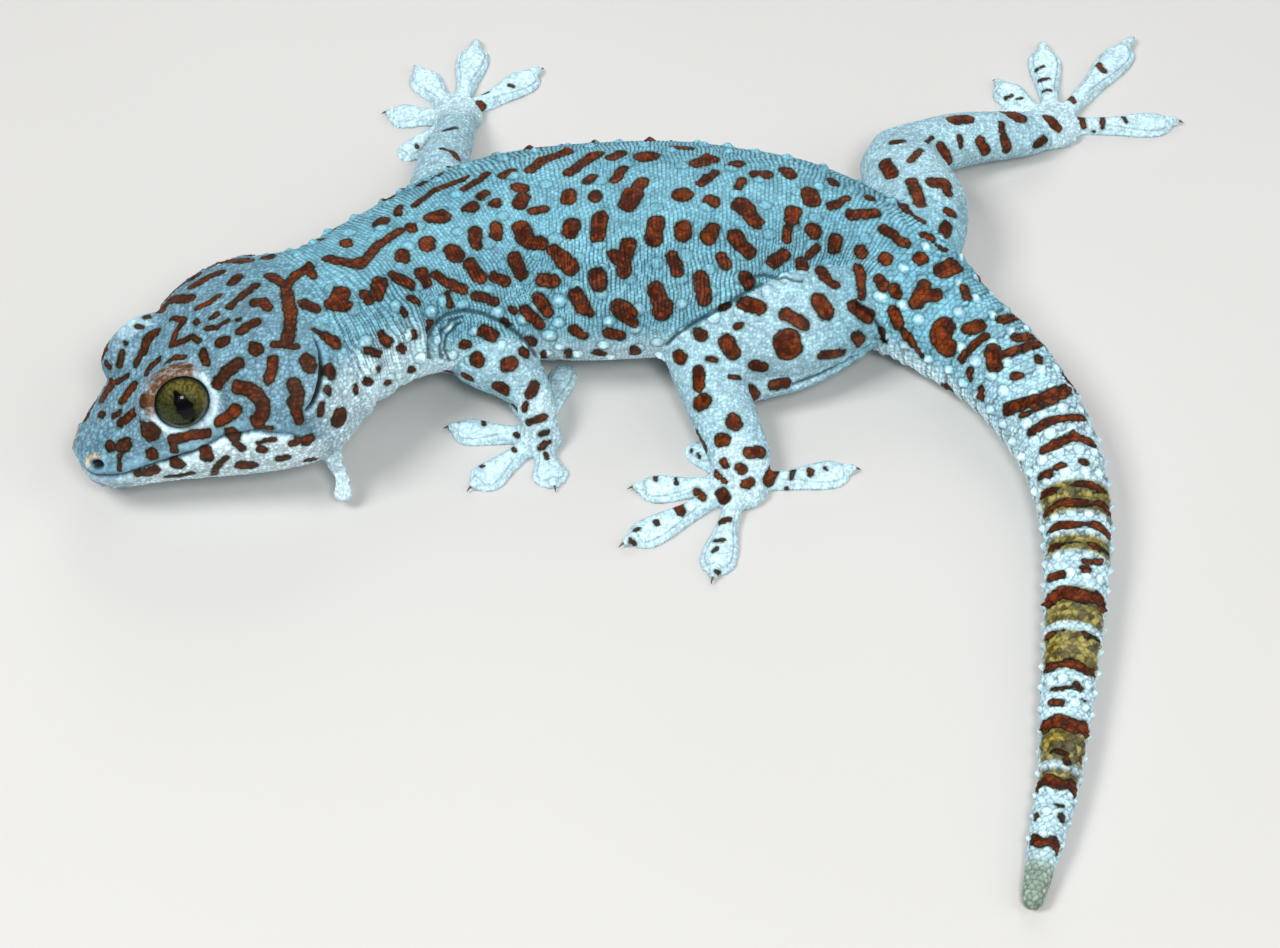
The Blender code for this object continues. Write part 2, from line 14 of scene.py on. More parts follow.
import bpy
import numpy as np
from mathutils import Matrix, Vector

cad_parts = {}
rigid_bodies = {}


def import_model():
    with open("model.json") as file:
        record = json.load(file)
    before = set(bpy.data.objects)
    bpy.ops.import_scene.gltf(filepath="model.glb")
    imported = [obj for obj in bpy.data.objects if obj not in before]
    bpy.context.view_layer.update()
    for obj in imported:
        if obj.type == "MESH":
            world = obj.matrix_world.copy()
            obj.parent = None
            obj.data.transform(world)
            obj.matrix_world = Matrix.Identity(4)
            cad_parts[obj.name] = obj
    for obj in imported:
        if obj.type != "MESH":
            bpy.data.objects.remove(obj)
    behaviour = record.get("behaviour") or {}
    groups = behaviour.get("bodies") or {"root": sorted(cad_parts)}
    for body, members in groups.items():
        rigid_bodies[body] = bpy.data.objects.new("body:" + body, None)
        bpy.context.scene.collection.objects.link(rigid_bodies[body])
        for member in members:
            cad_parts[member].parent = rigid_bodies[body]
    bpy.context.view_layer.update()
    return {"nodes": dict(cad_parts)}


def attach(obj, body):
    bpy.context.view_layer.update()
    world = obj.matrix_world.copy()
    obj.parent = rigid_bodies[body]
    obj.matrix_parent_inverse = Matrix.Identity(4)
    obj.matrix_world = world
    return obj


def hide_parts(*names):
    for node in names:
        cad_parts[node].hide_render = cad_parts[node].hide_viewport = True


MM = 0.001
UP = np.array((0.0, 0.0, 1.0))

# Chance: the seed of the random draws, and the whole numbers that keys are mixed with
SEED = 11
KEY_FACTORS = (73856093, 19349663, 83492791, 49979687)
MIX_FACTORS = (1274126177, 668265263)
LOW_BITS = 0x7FFFFFFF
SCATTER_STEPS = 100003

# The head's place and turn, and how square the cross-sections are. The sizes are close to the
# frame's, a little fuller on the torso and under the jaw
SNOUT = np.array((-96.4, -15.6, 11.0))
SNOUT_TIP_REACH = 0.7
HEAD_YAW = math.radians(30.0)
HEAD_PITCH = math.radians(7.0)
HEAD_ROLL = math.radians(12.0)
NECK_ROLL = HEAD_ROLL * 0.4
HEAD_POWER = 2.3
BODY_POWER = 2.2
LIMB_POWER = 2.0

# Head sections: distance behind the snout tip, half width, height above the lip, depth below it
HEAD_SECTIONS = [
    (0.5, 3.8, 1.7, 5.2),
    (2.0, 5.7, 2.9, 6.5),
    (5.0, 7.8, 4.7, 7.5),
    (10.0, 10.5, 7.8, 8.3),
    (16.0, 13.9, 11.4, 9.7),
    (22.0, 17.1, 14.2, 11.6),
    (28.0, 19.9, 16.2, 13.2),
    (34.0, 21.5, 16.6, 14.6),
    (39.0, 21.5, 16.0, 14.6),
    (44.0, 19.3, 14.8, 13.0),
    (48.0, 17.2, 14.2, 11.2),
]

# Body stations behind the head: x, y, z of the middle line, half width, height above, depth below
NECK_AND_TORSO = [
    (-45.0, 17.2, 15.8, 16.8, 13.2, 11.2),
    (-36.0, 22.8, 15.0, 19.2, 13.5, 12.0),
    (-25.6, 28.2, 14.6, 21.1, 13.7, 12.9),
    (-7.0, 30.8, 14.4, 22.5, 13.9, 13.3),
    (11.0, 31.8, 14.2, 21.3, 13.6, 13.1),
    (25.0, 32.2, 13.6, 17.4, 12.7, 12.0),
    (37.0, 29.0, 12.4, 13.8, 11.0, 10.4),
]
TAIL = [
    (46.4, 22.6, 10.6, 11.2, 9.6, 9.4),
    (52.6, 16.6, 9.4, 9.0, 8.2, 8.6),
    (60.0, 9.4, 8.2, 7.9, 7.2, 8.0),
    (66.4, -0.6, 7.0, 7.1, 6.2, 7.2),
    (70.4, -12.2, 6.2, 6.3, 5.4, 6.4),
    (71.7, -25.4, 5.4, 5.5, 4.8, 5.6),
    (70.2, -42.8, 4.8, 4.7, 4.2, 5.0),
    (67.8, -60.4, 4.2, 4.0, 3.5, 4.4),
    (65.2, -77.6, 3.4, 3.1, 2.8, 3.6),
    (61.4, -93.4, 2.6, 2.2, 2.0, 2.8),
    (59.6, -100.4, 2.0, 1.6, 1.4, 2.2),
]

# Limbs: each joint is x, y, z, half width, half height; each palm is x, y, radius;
# each toe is its direction in degrees, its length and whether it is the small toe with no claw
LEGS = {
    "foreleg_left": {
        "upper": [(-32.6, 16.4, 13.2, 7.6, 7.2), (-27.2, 8.6, 11.2, 7.2, 6.6), (-23.2, 5.4, 8.8, 4.7, 4.7)],
        "lower": [(-22.4, 5.4, 8.6, 4.3, 4.3), (-19.9, 1.8, 6.2, 3.6, 3.4), (-19.0, -2.0, 3.6, 3.1, 2.6)],
        "palm": (-19.2, -2.0, 4.1),
        "toes": [(76.0, 19.4, True), (105.0, 12.0, False), (170.0, 15.6, False),
                 (224.0, 15.6, False), (284.0, 10.8, False)],
    },
    "foreleg_right": {
        "upper": [(-39.0, 34.0, 12.6, 6.6, 6.2), (-38.4, 47.0, 10.8, 5.6, 5.4), (-37.4, 59.4, 8.6, 4.8, 4.8)],
        "lower": [(-37.4, 60.4, 8.2, 4.4, 4.4), (-36.6, 67.0, 6.2, 4.0, 3.8), (-35.8, 74.6, 3.8, 3.6, 2.9)],
        "palm": (-36.0, 79.2, 4.8),
        "toes": [(224.0, 14.5, True), (172.0, 13.0, False), (120.0, 16.2, False),
                 (82.0, 21.6, False), (42.0, 20.2, False)],
    },
    "hindleg_left": {
        "upper": [(36.0, 21.0, 12.4, 9.0, 8.6), (23.0, 15.4, 12.0, 10.6, 9.6), (9.2, 12.6, 10.4, 7.6, 7.4)],
        "lower": [(9.0, 11.4, 9.8, 7.0, 6.6), (11.6, 2.0, 7.2, 5.9, 5.2), (15.4, -9.0, 4.2, 5.3, 3.4)],
        "palm": (15.1, -13.2, 5.2),
        "toes": [(128.0, 13.5, True), (180.0, 17.6, False), (213.0, 23.0, False),
                 (257.0, 20.5, False), (12.0, 20.2, False)],
    },
    "hindleg_right": {
        "upper": [(46.2, 32.0, 11.6, 8.4, 7.8), (47.8, 45.0, 10.8, 9.2, 7.2), (45.6, 57.8, 9.0, 7.4, 6.2)],
        "lower": [(45.4, 60.2, 8.8, 6.0, 5.6), (56.6, 67.4, 6.6, 5.3, 4.8), (69.0, 71.8, 4.2, 4.9, 3.5)],
        "palm": (75.4, 76.6, 5.2),
        "toes": [(150.0, 11.0, True), (127.0, 16.0, False), (91.0, 23.4, False),
                 (56.0, 29.8, False), (5.0, 23.2, False)],
    },
}
PALM_HEIGHT = 1.2
PALM_HALF_THICKNESS = 2.6

# Toe stations: share of the length, half width, thickness; the small toe is narrower all along
TOE_STATIONS = (
    (0.0, 1.9, 3.2),
    (0.34, 1.6, 2.8),
    (0.5, 1.95, 2.4),
    (0.65, 2.7, 2.1),
    (0.78, 3.0, 1.9),
    (0.86, 2.75, 1.7),
    (0.9, 2.2, 1.5),
)
SMALL_TOE_WIDTH = 0.8
SOLE_PRESS = 0.3

# The parts' numbers: the spine, the lobe, then two lengths and five toes for each limb. Within a limb
# the toes come after the lengths, and the palm comes last
SPINE_PART = 0
LOBE_PART = 1
FIRST_LIMB_PART = 2
LIMB_PARTS = 7
FIRST_TOE = 2
PALM = 7

# Claws and their sheaths. Sheath stations: distance past the toe's length, height, half width, half height
SHEATH_STATIONS = ((-4.2, 1.3, 1.0, 0.8), (-2.0, 1.5, 1.0, 0.9), (0.0, 1.2, 0.9, 0.85))
CLAW_START = 0.1
CLAW_HEIGHT = 0.95
CLAW_LENGTH = 1.4
CLAW_DROP = 0.6
CLAW_RADIUS = 0.36

# Places on the head: distance behind the snout tip, offset to the side, height above the lip line
EYE_CENTRE = np.array((18.1, 7.6, 8.1))
EYE_LOOK = np.array((-0.14, 0.94, 0.24))
EYE_RADIUS = 5.4
EYE_OPENING = 4.6
ORBIT_RADII = (7.8, 5.4, 5.9)
NOSTRIL = np.array((1.9, 4.6, 0.8))
NOSTRIL_RADII = np.array((2.1, 1.4, 1.05))
MOUTH_LINE = (
    (0.2, -1.4), (4.0, -1.6), (10.0, -0.2), (16.5, 1.2),
    (21.0, 3.2), (26.0, 3.0), (31.0, 0.4), (34.0, -2.0),
)

# A small finger of skin that hangs behind the left corner of the jaw
LOBE_ROOT = (38.0, 15.0, -10.0)
LOBE_BEND = (-53.6, -13.5, 7.0)
LOBE_NECK = (-52.3, -15.3, 5.6)
LOBE_END = (-52.5, -16.8, 3.2)
LOBE_HALF_WIDTHS = (2.1, 1.5, 1.25, 1.8)
LOBE_HALF_THICKNESSES = (1.4, 1.15, 1.0, 1.35)

# The fold of skin along the rear of the left thigh: x, y, z, half width, half height
THIGH_FOLD = ((16.5, 4.6, 6.2, 2.4, 2.2), (27.5, 8.6, 6.6, 2.5, 2.4), (37.5, 14.6, 7.8, 1.9, 2.0))

# Where the neck and the tail begin, as distances along the middle line
NECK_START = 46.0
TAIL_START = 152.0

# Fineness of the skin and of the shapes under it, and how it is smoothed where two lengths meet
VOXEL = 0.5
GUIDE_STEP = 0.5
CHUNK = 20000
RING_STEP = 0.8
ROUND_END = (0.96, 0.85, 0.65, 0.35)
SPINE_SIDES = 96
LIMB_SIDES = 40
LINK_SIDES = 32
BALL_SIDES = 32
FOLD_SIDES = 24
TOE_SIDES = 24
LOBE_SIDES = 16
SHEATH_SIDES = 12
LINK_NARROWING = 0.9
END_MARGIN = 0.6
EVEN_ROUNDS = 4
CREASE_ROUNDS = 14
RELAXING = 0.5
CREASE_FAR = 3.0
CREASE_NEAR = 0.6
TOE_CREASE_LESS = 1.2

# The eyes and the openings of the head: lids, fringe, ear slits, lips, mouth, nostrils and pupil
EYE_SIDES = 160
EYE_FRONT_RINGS = 72
EYE_BACK_RINGS = 20
CORNEA_BULGE = 0.45
LID_DEPTH = 0.9
LID_RIM = 0.25
LID_REACH = 3.4
EYE_AREA = 9.5
FRINGE_REACHES = (2.2, 0.9)
EAR_WIDTHS = (0.3, 0.5, 0.65, 0.65, 0.5, 0.3)
EAR_DEPTH = 1.3
LIP_SCALE = 2.3
LIP_OFFSET = 1.3
LIP_HEIGHT = 0.22
LIP_SEAM_DEPTH = 0.16
MOUTH_DEPTH = 0.55
NOSTRIL_DEPTH = 1.25
NOSTRIL_RIM = 0.3
EAR_LIP = 0.3
PUPIL_HALF_LENGTH = 3.35
PUPIL_HALF_WIDTH = 1.4
PUPIL_TEETH = 0.1
PUPIL_LEAN = 10.0

# Raised features: start and end along the spine, steps along and across, widest angle, radius, height
BODY_TUBERCLES = (48.0, TAIL_START - 1.0, 4.7, 5.2, 108.0, 1.15, 0.75)
HEAD_TUBERCLES = (30.0, 47.0, 2.9, 3.2, 95.0, 0.62, 0.26)
TUBERCLE_GAPS = 0.08
TUBERCLE_SHAKE = 0.16
TUBERCLE_GROWTH = (0.8, 1.15)
WHORL_LENGTH = 4.3
WHORL_ROWS = 5
WHORL_STEP = 0.42
WHORL_CREST = 0.78
WHORL_GIRTH = 6.5
WHORL_SHAKE = 3.0
WHORL_TUBERCLES = ((15.0, 1.1, 0.6), (46.0, 1.1, 0.65), (84.0, 1.05, 1.15))
NECK_FOLD = 0.42
NECK_FOLD_LENGTH = 3.3
LIMB_FOLD = 0.16
LIMB_FOLD_LENGTH = 1.7
BEAD_HEIGHT = 0.18
BODY_ROW = 0.7
BODY_SCALE = 0.7
BODY_JITTER = 0.3
# The values named for grooves set how dark the shade painted between scales and rows is; the row and whorl
# grooves also flatten the beads along them
BODY_ROW_GROOVE = 1.0
BODY_SCALE_SHADE = 0.5
TAIL_SCALE = 1.25
TAIL_JITTER = 0.25
TAIL_OVERLAP = 0.14
WHORL_GROOVE = 0.85
HEAD_GROOVE_SHADE = 0.6
LIMB_BEAD = 0.68
LIMB_GROOVE_SHADE = 0.5
TOE_BEAD = 0.56
TOE_GROOVE_SHADE = 0.32
FOLD_DEPTH = 0.42
FOLD_LIP = 0.28
HEAD_BEAD = 0.78
PAD_RIDGE = 1.1
PAD_RIDGE_DEPTH = 0.22
PAD_MARGIN = 0.3
PAD_GROOVE = 0.62
PAD_GROOVE_DEPTH = 0.2
FRINGE_BEAD = 0.62
CLAW_ARCH = 0.35
CLAW_RINGS = 16
CLAW_SIDES = 12

# Spots of the body: where they run from and to, their spacing, the shares left out or enlarged, the
# angles past which they stop, thin out and shrink, and the mean, spread and least of their radii
SPOTS_START = 50.0
SPOTS_END = 188.0
SPOT_ROW = 4.6
SPOT_APART = 7.0
SPOT_GAPS = 0.1
BIG_SPOTS = 0.12
SPOT_SEARCH = 150.0
SPOTS_STOP = 140.0
SPOTS_THIN = 112.0
SPOTS_SHRINK = 88.0
SPOT_ALONG = (1.3, 0.25, 0.8)
SPOT_ACROSS = (1.95, 0.45, 0.9)
SPOT_SHAKE = 0.2
SPOT_SHIFT = 0.8
SPOT_TILT = 0.4
TAIL_SPOT_GROWTH = (1.25, 1.15)
BIG_SPOT_GROWTH = (1.2, 1.5)
LOW_SPOT_SIZE = 0.7

# Spots of the limbs: their spacing, their sizes on the upper and lower lengths, and their spread
LIMB_SPOT_ROW = 4.6
LIMB_SPOT_APART = 5.6
LIMB_SPOT_GAPS = 0.12
LIMB_SPOT_SIZES = {"fore": (1.0, 0.85), "hind": (1.25, 1.0)}
LIMB_SPOT_SHAKE = 0.22
LIMB_SPOT_SHIFT = 0.7
LIMB_SPOT_RADIUS = (0.95, 1.5)
LIMB_SPOT_STRETCH = (0.9, 1.35)
LIMB_SPOTS_LOWEST = -0.35

# How marks are drawn: a path's step in the photograph's pixels, the longest step on the skin that a
# stroke bridges, how much it is widened where the skin turns away, the least that skin faces a mark,
# and how near another mark keeps a guessed one out
PATH_STEP = 8.0
LONGEST_STEP = 3.6
NARROWING = 0.3
DOME_FACING = 0.2
MARK_FACING = 0.1
MARK_MARGIN = 1.5
FREE_REACH = 1.6
FREE_GAP = 0.7
HIDDEN_BELOW = 0.1

# The head's marks on its other side: how far aside they must lie, and how they are moved and grown
LEAST_ASIDE = 0.45
MIRROR_SHIFT = 0.6
MIRROR_LIFT = 0.5
MIRROR_GROWTH = (0.9, 1.1)

# Brown lines round the tail: distance along, half width and how broken; the olive stretches; the
# angles over which both fade out; and where the plain tip starts
TAIL_LINES = (
    (210.8, 0.7, 0.4), (214.3, 0.9, 0.0), (219.0, 0.8, 0.0), (222.9, 0.6, 0.6), (233.6, 1.4, 0.0),
    (241.2, 0.5, 0.9), (247.8, 0.9, 0.0), (259.2, 1.3, 0.0), (264.8, 0.4, 0.9), (270.6, 1.2, 0.0),
    (281.8, 1.0, 0.0),
)
TAIL_OLIVE = (
    (209.6, 216.0), (221.0, 224.4), (232.2, 239.0), (241.0, 248.4), (258.4, 266.4), (268.0, 271.0),
)
TAIL_LINE_FADE = (92.0, 62.0)
TAIL_LINE_LOSS = 2.2
TAIL_OLIVE_FADE = (92.0, 60.0)
TAIL_TIP_START = 283.4

# How pale the parts are, where 1 is nearly white. The lids' value is for a millimetre of fringe
BELLY_PALE = 0.85
THROAT_PALE = 0.8
TAIL_PALE = 0.62
LIMB_PALE = 0.4
FOOT_PALE = 0.3
LOBE_PALE = 0.8
LID_PALE = 0.36

# Marks as the photograph shows them, each a half width in millimetres and the pixels of its path.
# They are read on enlargements: the corner of each in the photograph, its scale and its marks.
HEAD_MARKS = ((60, 230), 5.227, (
    (0.9, (590, 1095), (680, 1075), (770, 1065)), (0.6, (590, 1110), (600, 1150)),
    (1.2, (930, 820), (1010, 840), (1060, 900), (1060, 960), (1030, 995)),
    (1.0, (820, 810), (860, 750), (935, 695)), (1.2, (1020, 615), (1025, 625)),
    (0.9, (1112, 680), (1115, 715), (1090, 780)), (1.2, (1290, 680), (1305, 715)),
    (1.3, (1220, 810), (1240, 850), (1230, 900)), (0.8, (1235, 940), (1250, 995)),
    (1.1, (1410, 735), (1415, 745)), (0.7, (1395, 835), (1402, 845)), (1.5, (1460, 975), (1462, 985)),
    (0.6, (1365, 910), (1360, 960)), (1.0, (835, 1005), (870, 980), (920, 940)),
    (1.1, (895, 1060), (910, 1080)), (0.7, (920, 1110), (950, 1140)), (1.1, (605, 1215), (620, 1225)),
    (1.1, (765, 1155), (770, 1185)), (0.5, (800, 1280), (830, 1220), (870, 1190)),
    (1.0, (955, 1230), (995, 1230)), (0.4, (560, 1290), (620, 1285), (690, 1270)),
    (1.3, (462, 1040), (470, 1050)), (1.1, (325, 1130), (345, 1120)), (0.9, (258, 1125), (265, 1135)),
    (1.0, (480, 1165), (483, 1175)), (0.8, (455, 1270), (500, 1250)), (0.5, (400, 1275), (420, 1270)),
    (0.35, (312, 1180), (312, 1250)), (0.8, (330, 890), (355, 850), (385, 815)),
    (0.5, (235, 860), (290, 800), (350, 765)), (0.8, (315, 1010), (350, 985), (385, 955)),
    (0.5, (285, 970), (315, 950)), (0.6, (215, 960), (225, 970)), (0.8, (440, 880), (432, 910)),
    (0.8, (700, 290), (770, 250), (830, 225)), (0.8, (900, 275), (930, 245)),
    (0.9, (570, 370), (620, 360), (680, 360)), (0.7, (500, 430), (560, 385)),
    (0.7, (890, 400), (950, 350), (1020, 290)), (0.5, (720, 410), (780, 380), (830, 345)),
    (0.5, (790, 460), (820, 440)), (0.9, (1020, 380), (1060, 375), (1085, 410)),
    (0.8, (940, 530), (990, 500), (1030, 480)),
    (0.5, (590, 460), (650, 470), (610, 530), (585, 600), (650, 580), (690, 555), (725, 580)),
    (0.9, (840, 590), (860, 580)), (0.4, (760, 515), (820, 510), (880, 475)), (0.8, (750, 640), (765, 690)),
    (0.35, (925, 470), (935, 466)), (0.5, (705, 480), (720, 490)),
    (0.5, (455, 745), (480, 710), (520, 675)), (0.4, (555, 700), (600, 670), (650, 665)),
    (0.4, (665, 715), (680, 712)), (0.8, (500, 540), (460, 570), (440, 640)), (0.6, (430, 640), (400, 700)),
    (0.5, (325, 640), (310, 710)), (0.35, (340, 585), (345, 592)), (0.5, (405, 505), (425, 510)),
    (0.5, (245, 700), (255, 712)), (1.1, (1190, 350), (1205, 450), (1190, 590)),
    (0.6, (1120, 600), (1230, 610)), (0.9, (1100, 240), (1180, 290), (1240, 230), (1300, 200)),
    (1.0, (1180, 290), (1195, 360)), (0.7, (1300, 210), (1325, 245)), (1.0, (1275, 385), (1330, 410)),
    (1.5, (1470, 330), (1450, 385)), (1.2, (1420, 390), (1490, 395)), (0.6, (1330, 525), (1390, 560)),
    (1.0, (1390, 560), (1440, 590)), (1.0, (1410, 150), (1470, 165), (1560, 185)),
    (1.0, (1495, 60), (1500, 75)), (0.4, (1040, 1110), (1120, 1090)), (0.7, (1050, 1145), (1065, 1150)),
    (0.8, (1220, 1110), (1235, 1105)), (0.9, (1285, 1105), (1300, 1090)), (0.7, (1150, 1195), (1180, 1190)),
    (0.6, (1300, 1200), (1325, 1200)), (0.4, (1030, 1030), (1110, 1035)), (0.6, (1540, 820), (1545, 835)),
))
TORSO_MARKS = ((360, 120), 3.56, (
    (1.1, (70, 370), (80, 360)), (0.7, (140, 310), (136, 335)), (0.55, (195, 305), (265, 250), (375, 210)),
    (0.8, (10, 510), (60, 450), (140, 395)), (0.9, (180, 378), (184, 392)), (1.25, (258, 348), (295, 348)),
    (1.3, (150, 480), (150, 492)), (1.5, (240, 436), (240, 446)), (1.55, (330, 470), (340, 480)),
    (1.1, (408, 395), (414, 445)), (1.1, (485, 378), (485, 412)), (0.6, (450, 192), (435, 208), (370, 248)),
    (0.9, (512, 196), (538, 184)), (0.9, (605, 178), (660, 140), (735, 115)),
    (0.9, (745, 190), (790, 155), (848, 120)), (0.9, (895, 134), (928, 120)),
    (1.35, (1008, 132), (1032, 128)), (0.6, (1120, 98), (1172, 102)), (1.15, (1200, 155), (1250, 140)),
    (0.9, (1330, 162), (1350, 156)), (1.0, (1410, 195), (1450, 195)), (1.1, (1515, 180), (1530, 195)),
    (1.2, (390, 316), (400, 308)), (0.8, (432, 275), (448, 262)), (1.05, (478, 300), (482, 296)),
    (1.1, (560, 240), (575, 245)), (1.3, (578, 275), (570, 300)), (0.8, (615, 325), (655, 318)),
    (1.25, (748, 262), (740, 285)), (0.85, (810, 218), (828, 206)), (1.15, (838, 268), (838, 276)),
    (0.85, (905, 215), (935, 175)), (1.7, (955, 300), (975, 265)), (1.1, (975, 255), (1005, 220)),
    (1.55, (1146, 268), (1152, 266)), (0.8, (1215, 225), (1265, 188)), (1.3, (1250, 288), (1256, 292)),
    (0.8, (1345, 240), (1362, 215)), (1.7, (1360, 305), (1375, 320)), (1.3, (1390, 340), (1410, 365)),
    (1.6, (575, 385), (590, 420)), (1.4, (605, 435), (640, 440)), (1.4, (757, 370), (748, 398)),
    (1.35, (855, 350), (845, 415)), (1.5, (955, 445), (945, 480)), (1.3, (940, 500), (940, 540)),
    (1.2, (905, 480), (925, 500)), (1.5, (1055, 365), (1045, 425)), (1.45, (1150, 385), (1150, 410)),
    (1.45, (1255, 390), (1240, 418)), (1.4, (1335, 415), (1350, 440)), (1.3, (1365, 455), (1385, 470)),
    (1.25, (550, 495), (572, 545)), (1.2, (690, 465), (715, 490)), (1.5, (720, 495), (750, 525)),
    (1.2, (390, 515), (425, 560)), (1.0, (480, 560), (515, 572)), (1.2, (650, 570), (685, 575)),
    (1.55, (845, 555), (850, 580)), (1.2, (1112, 490), (1128, 535)), (1.1, (1288, 492), (1298, 512)),
    (1.4, (1212, 565), (1225, 635)), (1.5, (1055, 605), (1065, 640)), (1.7, (1080, 665), (1075, 680)),
    (1.6, (925, 670), (955, 690)), (0.8, (960, 715), (975, 720)), (1.4, (770, 625), (795, 665)),
    (0.8, (805, 680), (820, 690)), (1.1, (635, 635), (665, 680)), (1.0, (585, 675), (640, 725)),
    (0.9, (760, 745), (795, 768)), (1.0, (885, 760), (925, 768)), (0.9, (980, 812), (980, 828)),
    (0.8, (845, 826), (858, 830)), (0.6, (740, 820), (742, 845)), (0.5, (652, 825), (655, 845)),
    (1.0, (120, 555), (175, 585)), (1.2, (218, 548), (232, 575)), (0.9, (270, 552), (310, 580), (365, 605)),
    (1.3, (72, 580), (58, 620)), (0.9, (15, 620), (30, 640)), (0.8, (410, 625), (480, 645)),
    (0.7, (600, 775), (615, 790)), (0.5, (535, 670), (550, 682)), (0.5, (510, 715), (530, 730)),
    (0.6, (310, 620), (320, 660)), (0.6, (175, 635), (205, 650)), (0.6, (150, 680), (160, 690)),
    (0.5, (250, 720), (240, 750)), (1.0, (80, 770), (100, 790)), (0.7, (20, 820), (65, 830)),
    (0.7, (140, 810), (150, 815)), (0.6, (190, 760), (195, 770)), (0.6, (55, 880), (65, 885)),
    (0.7, (25, 925), (30, 930)), (0.6, (100, 935), (105, 940)), (0.6, (180, 890), (185, 895)),
    (0.6, (375, 912), (390, 918)), (1.2, (440, 750), (470, 765)), (0.9, (370, 798), (378, 800)),
    (1.2, (415, 850), (422, 858)), (1.3, (525, 872), (540, 865)), (0.8, (575, 825), (590, 835)),
    (1.1, (495, 950), (510, 960)), (1.0, (605, 975), (620, 945)), (0.5, (585, 1030), (592, 1010)),
    (0.6, (600, 1075), (655, 1060)), (0.4, (640, 1120), (665, 1110)), (0.3, (440, 1070), (440, 1085)),
    (0.3, (512, 1050), (512, 1068)), (0.4, (555, 1120), (565, 1125)), (0.35, (490, 1190), (500, 1195)),
    (0.4, (640, 1170), (660, 1150)), (1.1, (1130, 840), (1145, 848)), (1.0, (1205, 760), (1218, 768)),
    (1.3, (1370, 655), (1420, 668)), (1.2, (1368, 560), (1382, 580)), (1.4, (1305, 790), (1325, 825)),
    (0.5, (1240, 850), (1265, 855)), (0.6, (1340, 735), (1355, 730)), (1.1, (1205, 895), (1205, 945)),
    (1.3, (1205, 1010), (1225, 1000)), (1.3, (1330, 1070), (1335, 1080)), (1.2, (1285, 1140), (1295, 1138)),
    (1.0, (1395, 970), (1400, 985)), (1.1, (1410, 875), (1430, 880)), (1.2, (1515, 695), (1560, 715)),
    (2.0, (1510, 790), (1535, 815)), (0.9, (1470, 945), (1515, 935)), (0.4, (1320, 915), (1350, 918)),
    (1.0, (1385, 1185), (1430, 1180)), (0.6, (1290, 670), (1310, 662)),
))
HIP_MARKS = ((720, 160), 3.41, (
    (1.5, (305, 112), (312, 140)), (1.4, (250, 178), (245, 205)), (0.8, (232, 230), (228, 270)),
    (1.2, (215, 325), (178, 350)), (1.4, (318, 240), (320, 246)), (1.3, (392, 272), (388, 298)),
    (0.9, (378, 158), (395, 152)), (0.6, (400, 150), (435, 130)), (0.8, (380, 72), (390, 80)),
    (0.6, (505, 130), (515, 132)), (1.0, (448, 190), (530, 182)), (1.1, (560, 240), (590, 255)),
    (1.1, (610, 275), (630, 285)), (0.8, (695, 262), (715, 270)), (0.6, (745, 300), (760, 308)),
    (1.1, (480, 312), (482, 318)), (1.1, (280, 362), (278, 350)), (0.6, (300, 330), (330, 298)),
    (1.0, (345, 380), (358, 400)), (0.7, (370, 415), (392, 425)), (1.2, (562, 338), (566, 342)),
    (1.2, (680, 338), (684, 340)), (1.0, (470, 375), (478, 385)), (0.8, (480, 405), (482, 465)),
    (1.2, (545, 415), (552, 425)), (1.1, (595, 440), (600, 455)), (1.5, (755, 380), (800, 365)),
    (1.4, (695, 435), (672, 485)), (1.2, (690, 465), (738, 460)), (0.8, (832, 440), (838, 470)),
    (1.1, (590, 515), (605, 555)), (0.8, (630, 585), (660, 625)), (0.5, (665, 630), (695, 665)),
    (1.2, (455, 500), (505, 535)), (0.5, (548, 575), (562, 620)), (1.9, (765, 575), (755, 605)),
    (1.6, (760, 625), (780, 640)), (1.1, (845, 578), (885, 568)), (0.7, (825, 680), (860, 640), (905, 605)),
    (1.0, (960, 550), (1000, 540)), (1.4, (930, 655), (938, 700)),
    (0.8, (950, 675), (1010, 650), (1085, 630)), (0.8, (1085, 678), (1085, 688)),
    (0.7, (1005, 740), (1020, 742)), (0.6, (855, 720), (858, 745)), (0.5, (895, 780), (898, 810)),
    (0.9, (1010, 612), (1060, 605)), (1.5, (338, 480), (360, 520)), (1.1, (230, 530), (285, 560)),
    (2.0, (235, 615), (225, 645)), (1.1, (465, 600), (480, 620)), (0.9, (350, 665), (410, 660)),
    (1.1, (985, 850), (1040, 835), (1110, 812), (1200, 780)), (0.5, (1030, 875), (1110, 840), (1180, 805)),
    (0.8, (1065, 930), (1120, 895), (1180, 885), (1260, 880)),
    (0.9, (1110, 990), (1160, 965), (1210, 945), (1262, 968)), (0.8, (1100, 1080), (1125, 1070)),
    (0.6, (1150, 1052), (1168, 1045)), (0.7, (1235, 1033), (1242, 1035)), (0.6, (1300, 1040), (1308, 1046)),
))
TAIL_MARKS = ((960, 460), 3.41, (
    (0.5, (425, 350), (475, 350)), (0.7, (420, 375), (430, 378)), (0.6, (310, 405), (350, 395)),
    (0.4, (495, 435), (500, 438)), (0.4, (320, 785), (400, 775)), (0.7, (395, 770), (405, 780)),
    (0.5, (315, 830), (345, 832)), (0.3, (415, 825), (418, 826)), (0.6, (360, 1030), (365, 1035)),
    (0.3, (325, 1180), (345, 1182)), (0.5, (340, 1220), (345, 1230)), (0.4, (262, 1215), (264, 1220)),
))
